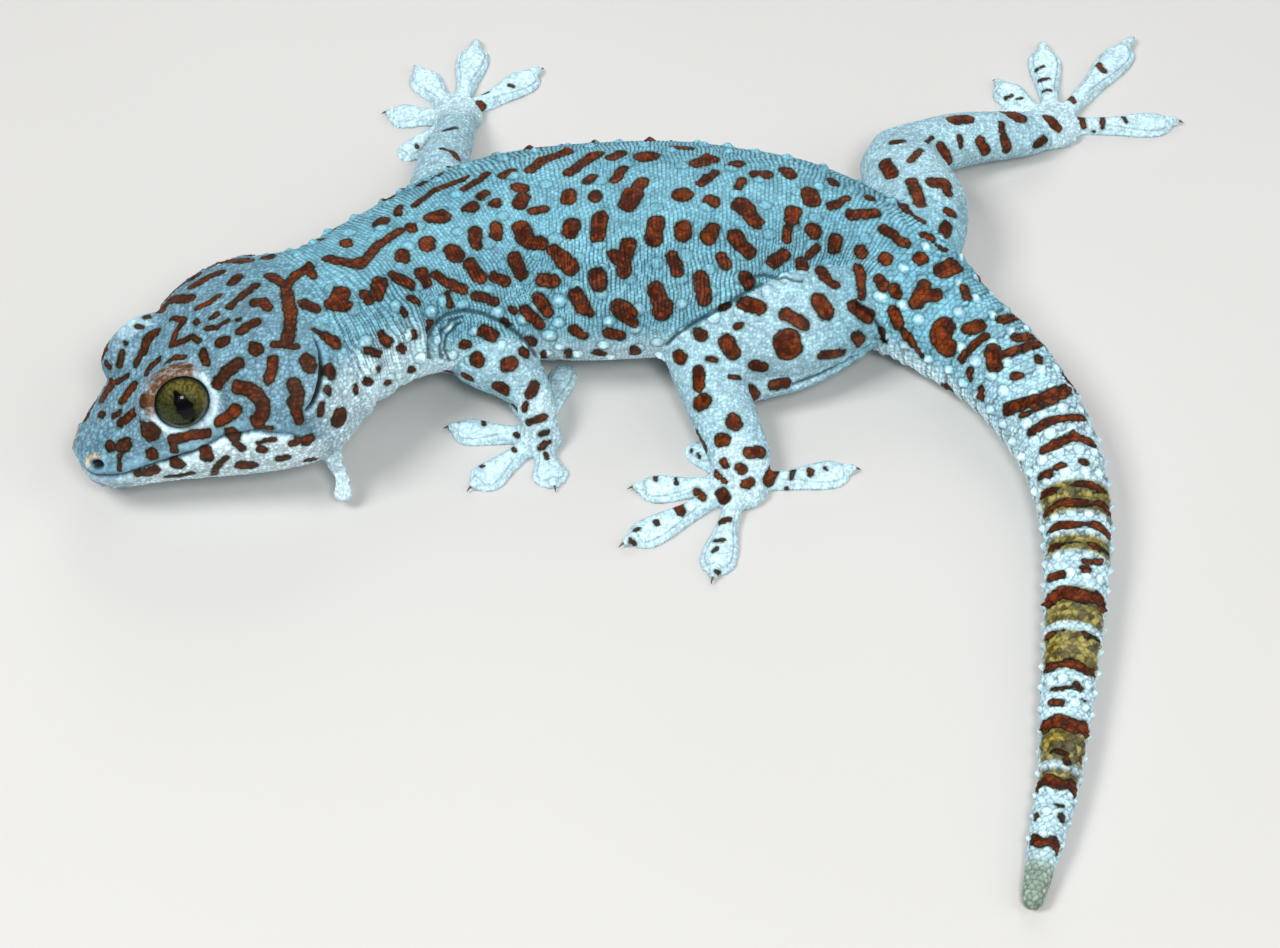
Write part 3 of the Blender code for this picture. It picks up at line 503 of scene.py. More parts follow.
FOOT_MARKS = ((430, 350), 3.564, (
    (0.5, (860, 70), (850, 95)), (0.2, (930, 355), (932, 360)), (0.25, (955, 372), (960, 380)),
    (0.6, (955, 300), (980, 350)), (0.7, (1045, 400), (1052, 408)), (0.9, (1105, 420), (1112, 425)),
    (1.1, (1040, 510), (1050, 530)), (0.9, (1125, 480), (1140, 472)), (1.1, (1205, 465), (1220, 430)),
    (0.4, (1285, 455), (1295, 430)), (0.6, (1355, 430), (1356, 442)), (0.3, (1408, 420), (1412, 426)),
    (0.3, (1270, 490), (1275, 494)), (0.5, (940, 440), (942, 465)), (0.3, (875, 445), (878, 475)),
    (0.3, (800, 450), (806, 465)), (0.5, (1020, 438), (1030, 448)), (0.4, (1045, 465), (1050, 470)),
    (0.8, (955, 508), (970, 525)), (0.8, (885, 555), (895, 578)), (0.4, (805, 612), (808, 620)),
    (0.4, (730, 640), (740, 638)), (0.35, (715, 680), (730, 690)), (0.5, (1035, 612), (1065, 605)),
    (0.3, (1015, 680), (1045, 678)), (0.35, (1012, 718), (1020, 708)), (0.3, (1020, 790), (1030, 795)),
    (0.25, (178, 410), (186, 416)), (0.25, (295, 350), (302, 360)), (0.35, (400, 350), (425, 328)),
    (0.3, (412, 370), (418, 385)), (0.35, (395, 300), (420, 292)),
))
FAR_LEG_MARKS = ((850, 20), 4.612, (
    (1.1, (480, 460), (540, 455)), (1.1, (725, 425), (780, 450)), (0.6, (700, 480), (700, 510)),
    (0.8, (710, 540), (725, 595)), (1.1, (925, 460), (945, 485)), (0.8, (860, 575), (895, 555)),
    (0.9, (600, 560), (625, 605)), (0.5, (505, 540), (512, 580)), (0.5, (300, 460), (315, 458)),
    (0.4, (380, 540), (330, 590)), (0.6, (325, 600), (280, 650)), (0.5, (195, 565), (240, 560)),
    (1.1, (420, 590), (450, 650)), (1.2, (160, 660), (195, 715)), (1.1, (285, 745), (325, 850)),
    (1.2, (385, 750), (440, 755)), (0.9, (440, 770), (450, 795)), (0.9, (235, 850), (270, 890)),
    (0.5, (285, 900), (335, 930)), (0.7, (450, 885), (480, 895)), (0.4, (85, 815), (100, 820)),
    (0.5, (1065, 450), (1080, 490)), (0.4, (1165, 450), (1165, 495)), (0.25, (1260, 450), (1275, 470)),
    (0.3, (1335, 425), (1345, 435)), (0.15, (1120, 512), (1125, 514)), (0.5, (995, 345), (1030, 375)),
    (0.6, (1070, 270), (1105, 280)), (0.5, (1145, 205), (1170, 235)), (0.4, (1200, 125), (1215, 130)),
    (0.3, (860, 330), (920, 325)), (0.25, (870, 280), (915, 270)), (0.25, (860, 230), (890, 215)),
    (0.3, (855, 145), (870, 155)), (0.3, (720, 360), (745, 350)), (0.2, (770, 365), (790, 360)),
))
FAR_HAND_MARKS = ((380, 30), 9.22, (
    (0.7, (920, 680), (950, 715)), (0.5, (670, 1130), (720, 1190)), (0.25, (570, 1095), (660, 1120)),
    (0.6, (370, 1430), (400, 1410)), (0.4, (500, 1370), (560, 1330)), (0.3, (590, 930), (700, 900)),
    (0.3, (1200, 510), (1225, 520)), (0.25, (950, 590), (985, 575)), (0.3, (335, 1060), (345, 1075)),
))

SEEN_MARKS = (
    HEAD_MARKS, TORSO_MARKS, HIP_MARKS, TAIL_MARKS, FOOT_MARKS, FAR_LEG_MARKS, FAR_HAND_MARKS,
)

# Creases of the skin, read in the same way: round the shoulder, above and behind the thigh, and the
# path of the ear slit
TORSO_FOLDS = ((360, 120), 3.56, (
    (0.3, (250, 850), (243, 790), (262, 730), (310, 692), (375, 677), (440, 690), (510, 722), (570, 768),
     (618, 825), (640, 858)),
    (0.22, (290, 850), (282, 800), (290, 750), (320, 715), (365, 700)),
    (0.2, (318, 860), (300, 815), (305, 775), (330, 740), (360, 722)),
    (0.25, (1092, 800), (1130, 762), (1190, 722), (1250, 690), (1310, 655), (1370, 615), (1430, 583)),
))
HIP_FOLDS = ((720, 160), 3.41, (
    (0.25, (100, 402), (150, 392), (200, 403), (280, 412)),
    (0.25, (470, 490), (520, 530), (545, 575), (562, 622)),
    (0.25, (250, 765), (330, 735), (400, 700), (460, 665), (508, 632)),
))
EAR_PATH = ((60, 230), 5.227, (
    (1335, 565), (1362, 630), (1372, 700), (1368, 780), (1350, 850), (1325, 905), (1290, 945),
))

# Colours, as linear light
BODY_BLUE = (0.205, 0.47, 0.575, 1.0)
BODY_BLUE_DEEP = (0.15, 0.375, 0.48, 1.0)
HEAD_BLUE = (0.125, 0.285, 0.385, 1.0)
HEAD_GREY = (0.21, 0.355, 0.44, 1.0)
PALE_BLUE = (0.70, 0.90, 0.97, 1.0)
TUBERCLE_WHITE = (0.66, 0.84, 0.88, 1.0)
OLIVE_GOLD = (0.27, 0.215, 0.035, 1.0)
OLIVE_DARK = (0.10, 0.074, 0.012, 1.0)
OLIVE_HALO = (0.10, 0.13, 0.045, 1.0)
TIP_GREEN = (0.27, 0.36, 0.29, 1.0)
RUST = (0.06, 0.010, 0.0015, 1.0)
ORANGE = (0.16, 0.030, 0.004, 1.0)
HEAD_BROWN = (0.062, 0.019, 0.008, 1.0)
DARK_EDGE = (0.012, 0.005, 0.002, 1.0)
# Painted shade in the mouth's line, the nostrils and the ear slits
OPENING_SHADE = (0.012, 0.013, 0.015, 1.0)
FRINGE = (0.13, 0.052, 0.016, 1.0)
CREAM = (0.62, 0.47, 0.24, 1.0)
IRIS_OLIVE = (0.036, 0.043, 0.009, 1.0)
IRIS_GOLD = (0.15, 0.12, 0.025, 1.0)
IRIS_DARK = (0.009, 0.015, 0.004, 1.0)
IRIS_RIM = (0.008, 0.009, 0.004, 1.0)
PUPIL = (0.0008, 0.0008, 0.0008, 1.0)
HORN_PALE = (0.16, 0.12, 0.08, 1.0)
HORN_DARK = (0.06, 0.04, 0.025, 1.0)
FLOOR_PALE = (0.62, 0.61, 0.59, 1.0)
FLOOR_WARM = (0.57, 0.56, 0.54, 1.0)

# The names of the skin's fields that its material reads
FIELDS = (
    "mark", "olive", "pale", "tubercle", "groove", "cell", "head_tone", "tip", "mouth", "rim", "cream",
)

# The studio: the camera's view of the animal, the floor, and lamps as name, place and size in metres,
# watts and whether they show as a glint
CAMERA_TARGET = np.array((-1.8, -16.5, 8.0))
CAMERA_ELEVATION = 48.0
CAMERA_DISTANCE = 662.9
CAMERA_LENS = 110.0
SENSOR_WIDTH = 36.0
PHOTO_SIZE = (1280, 948)
CAMERA_RISE = math.radians(CAMERA_ELEVATION)
CAMERA_BACK = np.array((0.0, -math.cos(CAMERA_RISE), math.sin(CAMERA_RISE)))
CAMERA_UP = np.cross(CAMERA_BACK, (1.0, 0.0, 0.0))
CAMERA_PLACE = CAMERA_TARGET + CAMERA_BACK * CAMERA_DISTANCE
FLOOR_HALF_WIDTH = 4000.0
LAMPS = (
    ("front", (0.14, -0.60, 0.78), 0.22, 4.6, True),
    ("key", (-0.5, -0.25, 0.8), 0.35, 6.6, False),
    ("fill", (0.7, -0.2, 0.6), 0.8, 2.8, True),
    ("back", (0.1, 0.8, 0.6), 0.6, 2.4, True),
)
WORLD_COLOUR = (0.9, 0.95, 1.0, 1.0)
WORLD_STRENGTH = 0.22

for item in list(bpy.data.objects):
    bpy.data.objects.remove(item, do_unlink=True)
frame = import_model()
scene = bpy.context.scene


def soft_step(value, start, end):
    """0 before start and 1 past end, with a soft change between. start may be the larger."""
    share = np.clip((value - start) / (end - start), 0.0, 1.0)
    return share * share * (3.0 - 2.0 * share)


def ridge(value, width):
    """A rounded ridge, 1 at zero and fading over a width."""
    return np.exp(-(value / width) ** 2)


def unit(vectors):
    return vectors / np.maximum(np.linalg.norm(vectors, axis=-1, keepdims=True), 1e-9)


def numbers(items, name, width):
    found = np.empty(len(items) * width, np.float32)
    items.foreach_get(name, found)
    return found.reshape(-1, width).astype(float)


def pixel_ray(x, y):
    """The direction in which the camera sees a pixel of the photograph."""
    reach = PHOTO_SIZE[0] * CAMERA_LENS / SENSOR_WIDTH
    aside = np.array(((x - PHOTO_SIZE[0] / 2) / reach, 0.0, 0.0))
    return unit(aside + CAMERA_UP * (PHOTO_SIZE[1] / 2 - y) / reach - CAMERA_BACK)


class Line:
    """A smooth line through stations. Every column after x, y, z is carried along it too."""

    def __init__(self, stations):
        self.rows = np.array(stations, dtype=float)
        steps = np.linalg.norm(np.diff(self.rows[:, :3], axis=0), axis=1)
        self.at = np.concatenate([[0.0], np.cumsum(steps)])
        slopes = np.diff(self.rows, axis=0) / steps[:, None]
        inner = slopes[:-1] * steps[1:, None] + slopes[1:] * steps[:-1, None]
        inner /= (steps[1:] + steps[:-1])[:, None]
        self.slopes = np.vstack([slopes[:1], inner, slopes[-1:]])

    def rows_at(self, s):
        s = np.clip(s, 0.0, self.at[-1])
        i = np.clip(np.searchsorted(self.at, s, side="right") - 1, 0, len(self.at) - 2)
        width = (self.at[i + 1] - self.at[i])[:, None]
        t = (s - self.at[i])[:, None] / width
        start = (2 * t**3 - 3 * t**2 + 1) * self.rows[i] + (t**3 - 2 * t**2 + t) * width * self.slopes[i]
        end = (3 * t**2 - 2 * t**3) * self.rows[i + 1] + (t**3 - t**2) * width * self.slopes[i + 1]
        return start + end


def turned(along, roll):
    """Left and up of cross-sections that face some directions, turned about them by a roll."""
    left = unit(np.cross(along, UP))
    up = np.cross(left, along)
    cos, sin = np.cos(roll)[..., None], np.sin(roll)[..., None]
    return left * cos + up * sin, up * cos - left * sin


class Guide:
    """A part's middle line and cross-sections. Angles count from its top, positive to its left."""

    def __init__(self, stations, power):
        line = Line(stations)
        self.length = line.at[-1]
        self.s = np.linspace(0.0, self.length, int(self.length / GUIDE_STEP) + 1)
        rows = line.rows_at(self.s)
        self.centre = rows[:, :3]
        self.along = unit(line.rows_at(self.s + 0.05)[:, :3] - line.rows_at(self.s - 0.05)[:, :3])
        self.left, self.up = turned(self.along, rows[:, 6])
        self.half_width, self.top, self.bottom = rows[:, 3:6].T
        self.power = np.broadcast_to(power(self.s) if callable(power) else power, self.s.shape)
        self.mean = (2 * self.half_width + self.top + self.bottom) / 4

    def index(self, s):
        share = np.clip(np.asarray(s, float) / self.length, 0.0, 1.0)
        return np.rint(share * (len(self.s) - 1)).astype(int)

    def surface(self, s, degrees):
        """Places on the skin, their normals and their directions along."""
        i = self.index(s)
        angle = np.radians(np.asarray(degrees, float))
        exponent = 2 / self.power[i]
        across = np.sign(np.sin(angle)) * np.abs(np.sin(angle)) ** exponent
        rise = np.sign(np.cos(angle)) * np.abs(np.cos(angle)) ** exponent
        height = np.where(rise > 0, self.top[i], self.bottom[i])
        shift = np.asarray(s, float) - self.s[i]
        left, up, half_width = self.left[i], self.up[i], self.half_width[i]
        flat = (across * half_width)[..., None] * left + (rise * height)[..., None] * up
        normal = (across / half_width)[..., None] * left + (rise / height)[..., None] * up
        return self.centre[i] + flat + shift[..., None] * self.along[i], unit(normal), self.along[i]

    def locate(self, places):
        """Each place's distance along, angle in degrees, arc from the top and how far outside it lies."""
        nearest = np.empty(len(places), int)
        square = (self.centre ** 2).sum(1)
        for first in range(0, len(places), CHUNK):
            gaps = square - 2 * places[first:first + CHUNK] @ self.centre.T
            nearest[first:first + CHUNK] = gaps.argmin(1)
        offset = places - self.centre[nearest]
        ahead = (offset * self.along[nearest]).sum(1)
        left = (offset * self.left[nearest]).sum(1)
        up = (offset * self.up[nearest]).sum(1)
        height = np.where(up > 0, self.top[nearest], self.bottom[nearest])
        half = self.power[nearest] / 2
        across = np.sign(left) * np.abs(left / self.half_width[nearest]) ** half
        rise = np.sign(up) * np.abs(up / height) ** half
        size = (across ** 2 + rise ** 2) ** (0.5 / half)
        angle = np.arctan2(across, rise)
        outside = np.hypot(left, up) * (1 - 1 / np.maximum(size, 1e-3))
        past = np.maximum(self.s[nearest] + ahead - self.length, -(self.s[nearest] + ahead))
        side = np.where((outside > 0) | (past > 0), 1, -1)
        to_end = self.length - self.s[nearest] - ahead + END_MARGIN
        return SimpleNamespace(
            s=self.s[nearest] + ahead,
            degrees=np.degrees(angle),
            arc=angle * self.mean[nearest],
            outside=np.hypot(outside, np.maximum(past, 0.0)) * side,
            margin=np.minimum(self.half_width[nearest] - np.abs(left), to_end),
        )


# The guides: the whole spine, each leg's two lengths, its toes and the lobe
HEAD_BACK = np.array((
    math.cos(HEAD_YAW) * math.cos(HEAD_PITCH),
    math.sin(HEAD_YAW) * math.cos(HEAD_PITCH),
    math.sin(HEAD_PITCH),
))
HEAD_LEFT, HEAD_UP = turned(HEAD_BACK, np.array(HEAD_ROLL))
HEAD_AXES = np.array((HEAD_BACK, HEAD_LEFT, HEAD_UP))


def head_point(offsets):
    return SNOUT + HEAD_AXES.T @ np.array(offsets)


def spine_guide():
    stations = [(*(SNOUT + HEAD_BACK * row[0]), *row[1:], HEAD_ROLL) for row in HEAD_SECTIONS]
    stations += [(*row, NECK_ROLL if number == 0 else 0.0) for number, row in enumerate(NECK_AND_TORSO)]
    stations += [(*row, 0.0) for row in TAIL]
    return Guide(stations, lambda s: HEAD_POWER + (BODY_POWER - HEAD_POWER) * soft_step(s, 40.0, 50.0))


def rod_guide(stations, power=LIMB_POWER):
    return Guide([(*row[:5], row[4], 0.0) for row in stations], power)


def heading(degrees):
    """The direction on the floor that a toe points in."""
    return np.array((math.cos(math.radians(degrees)), math.sin(math.radians(degrees))))


def toe_guide(palm, angle, length, small):
    way = heading(angle)
    stations = []
    for share, half_width, thickness in TOE_STATIONS:
        x, y = np.array(palm[:2]) + way * length * share
        wide = half_width * (SMALL_TOE_WIDTH if small else 1.0)
        stations.append((x, y, thickness / 2 - SOLE_PRESS, wide, thickness / 2 + SOLE_PRESS))
    return rod_guide(stations, BODY_POWER)


def sheath_guide(palm, angle, length):
    """The narrow sheath of skin over the root of a claw."""
    way = heading(angle)
    stations = []
    for past, height, half_width, half_height in SHEATH_STATIONS:
        x, y = np.array(palm[:2]) + way * (length + past)
        stations.append((x, y, height, half_width, half_height))
    return rod_guide(stations)


def lobe_guide():
    points = (head_point(LOBE_ROOT), LOBE_BEND, LOBE_NECK, LOBE_END)
    sizes = zip(LOBE_HALF_WIDTHS, LOBE_HALF_THICKNESSES)
    return rod_guide([(*point, *size) for point, size in zip(points, sizes)])


SPINE = spine_guide()
LOBE = lobe_guide()
UPPER = {name: rod_guide(sizes["upper"]) for name, sizes in LEGS.items()}
LOWER = {name: rod_guide(sizes["lower"]) for name, sizes in LEGS.items()}
TOES = {name: [toe_guide(sizes["palm"], *toe) for toe in sizes["toes"]] for name, sizes in LEGS.items()}
EYES = [
    (head_point(EYE_CENTRE * (1.0, side, 1.0)), unit(HEAD_AXES.T @ (EYE_LOOK * (1.0, side, 1.0))))
    for side in (1.0, -1.0)
]


class Flesh:
    """Closed tubes and balls that overlap, gathered for fusing."""

    def __init__(self):
        self.places = []
        self.faces = []

    def add_rings(self, rings, start_pole, end_pole):
        base = len(self.places)
        count, sides = len(rings), len(rings[0])
        for ring in rings:
            self.places.extend(ring)
        for row in range(count - 1):
            for k in range(sides):
                a, b = base + row * sides + k, base + row * sides + (k + 1) % sides
                self.faces.append((a, b, b + sides, a + sides))
        for row, pole, flip in ((0, start_pole, True), (count - 1, end_pole, False)):
            tip = len(self.places)
            self.places.append(pole)
            for k in range(sides):
                a, b = base + row * sides + k, base + row * sides + (k + 1) % sides
                self.faces.append((b, a, tip) if flip else (a, b, tip))

    def add_tube(self, guide, sides, start_reach=None):
        """A guide's own surface between round ends. The first end may reach a given length."""
        angles = -360.0 * np.arange(sides) / sides
        count = max(4, int(guide.length / RING_STEP))
        rings = [guide.surface(np.full(sides, s), angles)[0] for s in np.linspace(0.0, guide.length, count)]
        poles = []
        for end, way, reach in ((0, -1.0, start_reach), (-1, 1.0, None)):
            length = reach or min(guide.half_width[end], guide.top[end])
            caps = []
            for share in ROUND_END:
                shift = guide.along[end] * way * length * math.sqrt(1.0 - share * share)
                caps.append(guide.centre[end] + (rings[end] - guide.centre[end]) * share + shift)
            rings = caps[::-1] + rings if way < 0 else rings + caps
            poles.append(guide.centre[end] + guide.along[end] * way * length)
        self.add_rings(rings, *poles)

    def add_ball(self, centre, axes, radii, sides=BALL_SIDES):
        turns = 2 * np.pi * np.arange(sides) / sides
        rings = []
        for tilt in np.linspace(-np.pi / 2, np.pi / 2, sides // 2 + 1)[1:-1]:
            flat = np.cos(tilt)
            local = np.stack([np.cos(turns) * flat, np.sin(turns) * flat, np.full(sides, np.sin(tilt))], 1)
            rings.append(centre + (local * radii) @ axes)
        pole = np.array((0.0, 0.0, radii[2])) @ axes
        self.add_rings(rings, centre - pole, centre + pole)

    def fused(self, voxel):
        """One closed mesh round them all."""
        mesh = bpy.data.meshes.new("flesh")
        mesh.from_pydata([tuple(np.array(place) * MM) for place in self.places], [], self.faces)
        item = bpy.data.objects.new("flesh", mesh)
        scene.collection.objects.link(item)
        remesh = item.modifiers.new("fuse", "REMESH")
        remesh.mode = "VOXEL"
        remesh.voxel_size = voxel * MM
        return taken(item)


def taken(item):
    """The mesh that an object's modifiers make. The object is removed."""
    evaluated = item.evaluated_get(bpy.context.evaluated_depsgraph_get())
    mesh = bpy.data.meshes.new_from_object(evaluated)
    bpy.data.objects.remove(item, do_unlink=True)
    return mesh


def gathered_flesh():
    """The body, the lobe, the orbits and every limb as overlapping closed shapes."""
    flesh = Flesh()
    flesh.add_tube(SPINE, SPINE_SIDES, start_reach=SNOUT_TIP_REACH)
    flesh.add_tube(LOBE, LOBE_SIDES)
    flesh.add_tube(rod_guide(THIGH_FOLD), FOLD_SIDES)
    for side in (1.0, -1.0):
        mirror = np.array((1.0, side, 1.0))
        flesh.add_ball(head_point(EYE_CENTRE * mirror), HEAD_AXES, np.array(ORBIT_RADII))
    for name in LEGS:
        add_limb(flesh, name)
    return flesh


def add_limb(flesh, name):
    """A limb's two lengths, its palm with the link to it, and its toes with their claws' sheaths."""
    sizes = LEGS[name]
    flesh.add_tube(UPPER[name], LIMB_SIDES)
    flesh.add_tube(LOWER[name], LIMB_SIDES)
    x, y, radius = sizes["palm"]
    middle = np.array((x, y, PALM_HEIGHT))
    flesh.add_ball(middle, np.eye(3), np.array((radius, radius, PALM_HALF_THICKNESS)))
    palm_end = (*middle, radius * LINK_NARROWING, PALM_HALF_THICKNESS)
    flesh.add_tube(rod_guide([sizes["lower"][-1], palm_end]), LINK_SIDES)
    for toe, (angle, length, small) in zip(TOES[name], sizes["toes"]):
        flesh.add_tube(toe, TOE_SIDES)
        if not small:
            flesh.add_tube(sheath_guide(sizes["palm"], angle, length), SHEATH_SIDES)


def relaxed(places, edges, weight, rounds):
    """Places moved towards the middle of their neighbours, round after round, by a weight each."""
    first, second = edges.T
    count = len(places)
    degree = np.bincount(edges.ravel(), minlength=count)[:, None]
    for _ in range(rounds):
        total = np.stack([
            np.bincount(first, places[second, axis], count) + np.bincount(second, places[first, axis], count)
            for axis in range(3)
        ], 1)
        places = places + weight[:, None] * (total / degree - places)
    return places


def crease_weight(places):
    """1 where two lengths of the body meet, so that their crease is filled in, and 0 elsewhere."""
    gaps = [np.abs(SPINE.locate(places).outside)]
    for name in LEGS:
        gaps.append(np.abs(UPPER[name].locate(places).outside))
        gaps.append(np.abs(LOWER[name].locate(places).outside))
        gaps += [np.abs(toe.locate(places).outside) + TOE_CREASE_LESS for toe in TOES[name]]
    second = np.sort(np.array(gaps), axis=0)[1]
    return soft_step(second, CREASE_FAR, CREASE_NEAR)


def edges_of(mesh):
    found = np.empty(len(mesh.edges) * 2, np.int32)
    mesh.edges.foreach_get("vertices", found)
    return found.reshape(-1, 2)


def base_skin():
    """The bare skin: fused, with soft creases, then divided once."""
    mesh = gathered_flesh().fused(VOXEL)
    places = numbers(mesh.vertices, "co", 3) / MM
    edges = edges_of(mesh)
    even = np.ones(len(places))
    places = relaxed(places, edges, even * RELAXING, EVEN_ROUNDS)
    places = relaxed(places, edges, crease_weight(places) * RELAXING, CREASE_ROUNDS)
    places[:, 2] = np.maximum(places[:, 2], 0.0)
    mesh.vertices.foreach_set("co", (places * MM).ravel())
    item = bpy.data.objects.new("skin", mesh)
    scene.collection.objects.link(item)
    finer = item.modifiers.new("finer", "SUBSURF")
    finer.levels = finer.render_levels = 1
    mesh = taken(item)
    mesh.shade_smooth()
    return mesh


class Points:
    """Places sorted along X, so that those near a centre are found quickly."""

    def __init__(self, places):
        self.places = places
        self.order = np.argsort(places[:, 0])
        self.sorted_x = places[self.order, 0]

    def near(self, centre, reach):
        """Numbers of the places within reach of a centre, and their offsets from it."""
        first, last = np.searchsorted(self.sorted_x, (centre[0] - reach, centre[0] + reach))
        index = self.order[first:last]
        offset = self.places[index] - centre
        close = (offset ** 2).sum(1) < reach * reach
        return index[close], offset[close]


def scatter(*keys):
    """A number from 0 to 1 for each set of whole-number keys, always the same for the same keys."""
    mixed = np.zeros(np.broadcast(*keys).shape, np.int64)
    for key, factor in zip(keys, KEY_FACTORS):
        mixed ^= np.asarray(key, np.int64) * factor
    mixed = (mixed ^ (mixed >> 13)) * MIX_FACTORS[0] & LOW_BITS
    mixed = (mixed ^ (mixed >> 15)) * MIX_FACTORS[1] & LOW_BITS
    return (mixed % SCATTER_STEPS) / float(SCATTER_STEPS)


def parts_of(places):
    """Which part each place is on, and its distance along, arc and angle on that part."""
    guides = [SPINE, LOBE]
    for name in LEGS:
        guides += [UPPER[name], LOWER[name], *TOES[name]]
    count = len(places)
    on = SimpleNamespace(part=np.zeros(count, int), s=np.zeros(count), arc=np.zeros(count),
                         degrees=np.zeros(count), share=np.zeros(count), margin=np.zeros(count))
    best = np.full(count, np.inf)
    for number, guide in enumerate(guides):
        margin = guide.half_width.max() + 6.0
        low, high = guide.centre.min(0) - margin, guide.centre.max(0) + margin
        index = np.nonzero(((places > low) & (places < high)).all(1))[0]
        found = guide.locate(places[index])
        closer = found.outside < best[index]
        index = index[closer]
        best[index] = found.outside[closer]
        on.part[index] = number
        on.s[index] = found.s[closer]
        on.arc[index] = found.arc[closer]
        on.degrees[index] = found.degrees[closer]
        on.share[index] = found.s[closer] / guide.length
        on.margin[index] = found.margin[closer]
    on.is_spine = on.part == SPINE_PART
    on.is_lobe = on.part == LOBE_PART
    on.limb = (on.part - FIRST_LIMB_PART) // LIMB_PARTS
    on.limb_piece = np.where(on.part > LOBE_PART, (on.part - FIRST_LIMB_PART) % LIMB_PARTS, -1)
    for number, sizes in enumerate(LEGS.values()):
        x, y, radius = sizes["palm"]
        flat = places[:, :2] - (x, y)
        on_palm = (np.hypot(*flat.T) < radius) & (on.part > LOBE_PART) & (on.limb == number)
        on.limb_piece[on_palm] = PALM
        on.s[on_palm], on.arc[on_palm] = flat[on_palm].T
    on.is_toe = (on.limb_piece >= FIRST_TOE) & (on.limb_piece < PALM)
    on.is_palm = on.limb_piece == PALM
    return on


def scales(on, along, across, jitter):
    """Scales in staggered rows: each place's distance to its scale's border and its row's edge, the
    scale's number and how near the place is to the scale's rear."""
    along_share, across_share = on.s / along, on.arc / across
    row = np.floor(along_share).astype(int)
    nearest = np.full(len(row), 9.0)
    second = np.full(len(row), 9.0)
    number = np.zeros(len(row))
    rear = np.zeros(len(row))
    for row_step in (-1, 0, 1):
        this_row = row + row_step
        shifted = across_share - 0.5 * (this_row % 2)
        column = np.floor(shifted).astype(int)
        for column_step in (-1, 0, 1):
            this_column = column + column_step
            there = scatter(this_row, this_column, on.part, 1)
            aside = scatter(this_row, this_column, on.part, 2)
            ahead = (this_row + 0.5 + jitter * (there - 0.5) - along_share) * along
            beside = (this_column + 0.5 + jitter * (aside - 0.5) - shifted) * across
            gap = np.hypot(ahead, beside)
            closer = gap < nearest
            second = np.where(closer, nearest, np.minimum(second, gap))
            number = np.where(closer, scatter(this_row, this_column, on.part, 3), number)
            rear = np.where(closer, np.clip(0.5 - ahead / along, 0.0, 1.0), rear)
            nearest = np.minimum(nearest, gap)
    row_edge = (0.5 - np.abs(along_share % 1.0 - 0.5)) * along
    return SimpleNamespace(border=(second - nearest) / 2, number=number, row_edge=row_edge, rear=rear)


class Skin:
    """The skin's places, where they are on the animal, and the fields that shape and colour them."""

    def __init__(self, mesh):
        self.mesh = mesh
        self.places = numbers(mesh.vertices, "co", 3) / MM
        self.normals = numbers(mesh.vertices, "normal", 3)
        self.points = Points(self.places)
        self.on = parts_of(self.places)
        self.head = (self.places - SNOUT) @ HEAD_AXES.T
        count = len(self.places)
        self.raised = np.zeros(count)
        self.sunk = np.zeros(count)
        self.tubercle = np.zeros(count)
        self.mark = np.full(count, -9.0)
        self.olive = np.zeros(count)
        self.pale = np.zeros(count)
        self.rim = np.zeros(count)
        self.cream = np.zeros(count)
        self.smooth = np.zeros(count)
        # Painted shade in creases: round the feet of domes, at the lids' edges, in folds and along the toe
        # pads
        self.crease_shade = np.zeros(count)
        self.fold = np.full(count, -9.0)
        self.slit = np.full(count, -9.0)

    def settle(self):
        """The places moved so far become the mesh, and its normals are taken again."""
        self.mesh.vertices.foreach_set("co", (self.places * MM).astype(np.float32).ravel())
        self.mesh.update()
        bpy.context.view_layer.update()
        self.normals = numbers(self.mesh.vertices, "normal", 3)
        self.points = Points(self.places)
        self.head = (self.places - SNOUT) @ HEAD_AXES.T

    def stamp_dome(self, centre, along, normal, radii, height, lean=0.0, white=1.0):
        """A dome or blunt cone on the skin, with shade painted in a ring round its foot. With lean, its peak
        is pushed back along the body.
        """
        index, offset = self.points.near(centre, max(radii) * 1.6)
        facing = self.normals[index] @ normal > DOME_FACING
        index, offset = index[facing], offset[facing]
        ahead = offset @ along
        beside = offset @ np.cross(normal, along)
        ahead = ahead - lean * radii[0] * 0.4
        size = np.hypot(ahead / radii[0], beside / radii[1])
        shape = soft_step(size, 1.0, 0.0) ** 0.8
        self.raised[index] = np.maximum(self.raised[index], height * shape)
        self.tubercle[index] = np.maximum(self.tubercle[index], white * shape)
        self.smooth[index] = np.maximum(self.smooth[index], (0.45 + 0.4 * white) * soft_step(size, 0.95, 0.7))
        self.crease_shade[index] = np.maximum(self.crease_shade[index], 0.75 * ridge(size - 0.98, 0.15))

    def stamp_spot(self, centre, along, normal, radii):
        """A rust oval: the marks hold the distance inside its edge, in millimetres."""
        index, offset = self.points.near(centre, max(radii) + MARK_MARGIN)
        facing = self.normals[index] @ normal > MARK_FACING
        index, offset = index[facing], offset[facing]
        ahead = offset @ along
        beside = offset @ np.cross(normal, along)
        size = np.hypot(ahead / radii[0], beside / radii[1])
        inside = (1.0 - size) * min(radii) * np.clip(size, 0.6, 1.5) ** 0.3
        self.mark[index] = np.maximum(self.mark[index], inside)

    def stamp_rod(self, first, last, normal, width, field):
        """A straight stroke between two places: the field holds the distance inside its edge."""
        middle = (first + last) / 2
        run = last - first
        index, _ = self.points.near(middle, np.linalg.norm(run) / 2 + width + MARK_MARGIN)
        index = index[self.normals[index] @ normal > MARK_FACING]
        offset = self.places[index] - first
        share = np.clip(offset @ run / max(run @ run, 1e-6), 0.0, 1.0)
        inside = width - np.linalg.norm(offset - share[:, None] * run, axis=1)
        values = getattr(self, field)
        values[index] = np.maximum(values[index], inside)


def girth(guide, s):
    """The mean radius of a part at a distance along it."""
    return guide.mean[guide.index(s)]


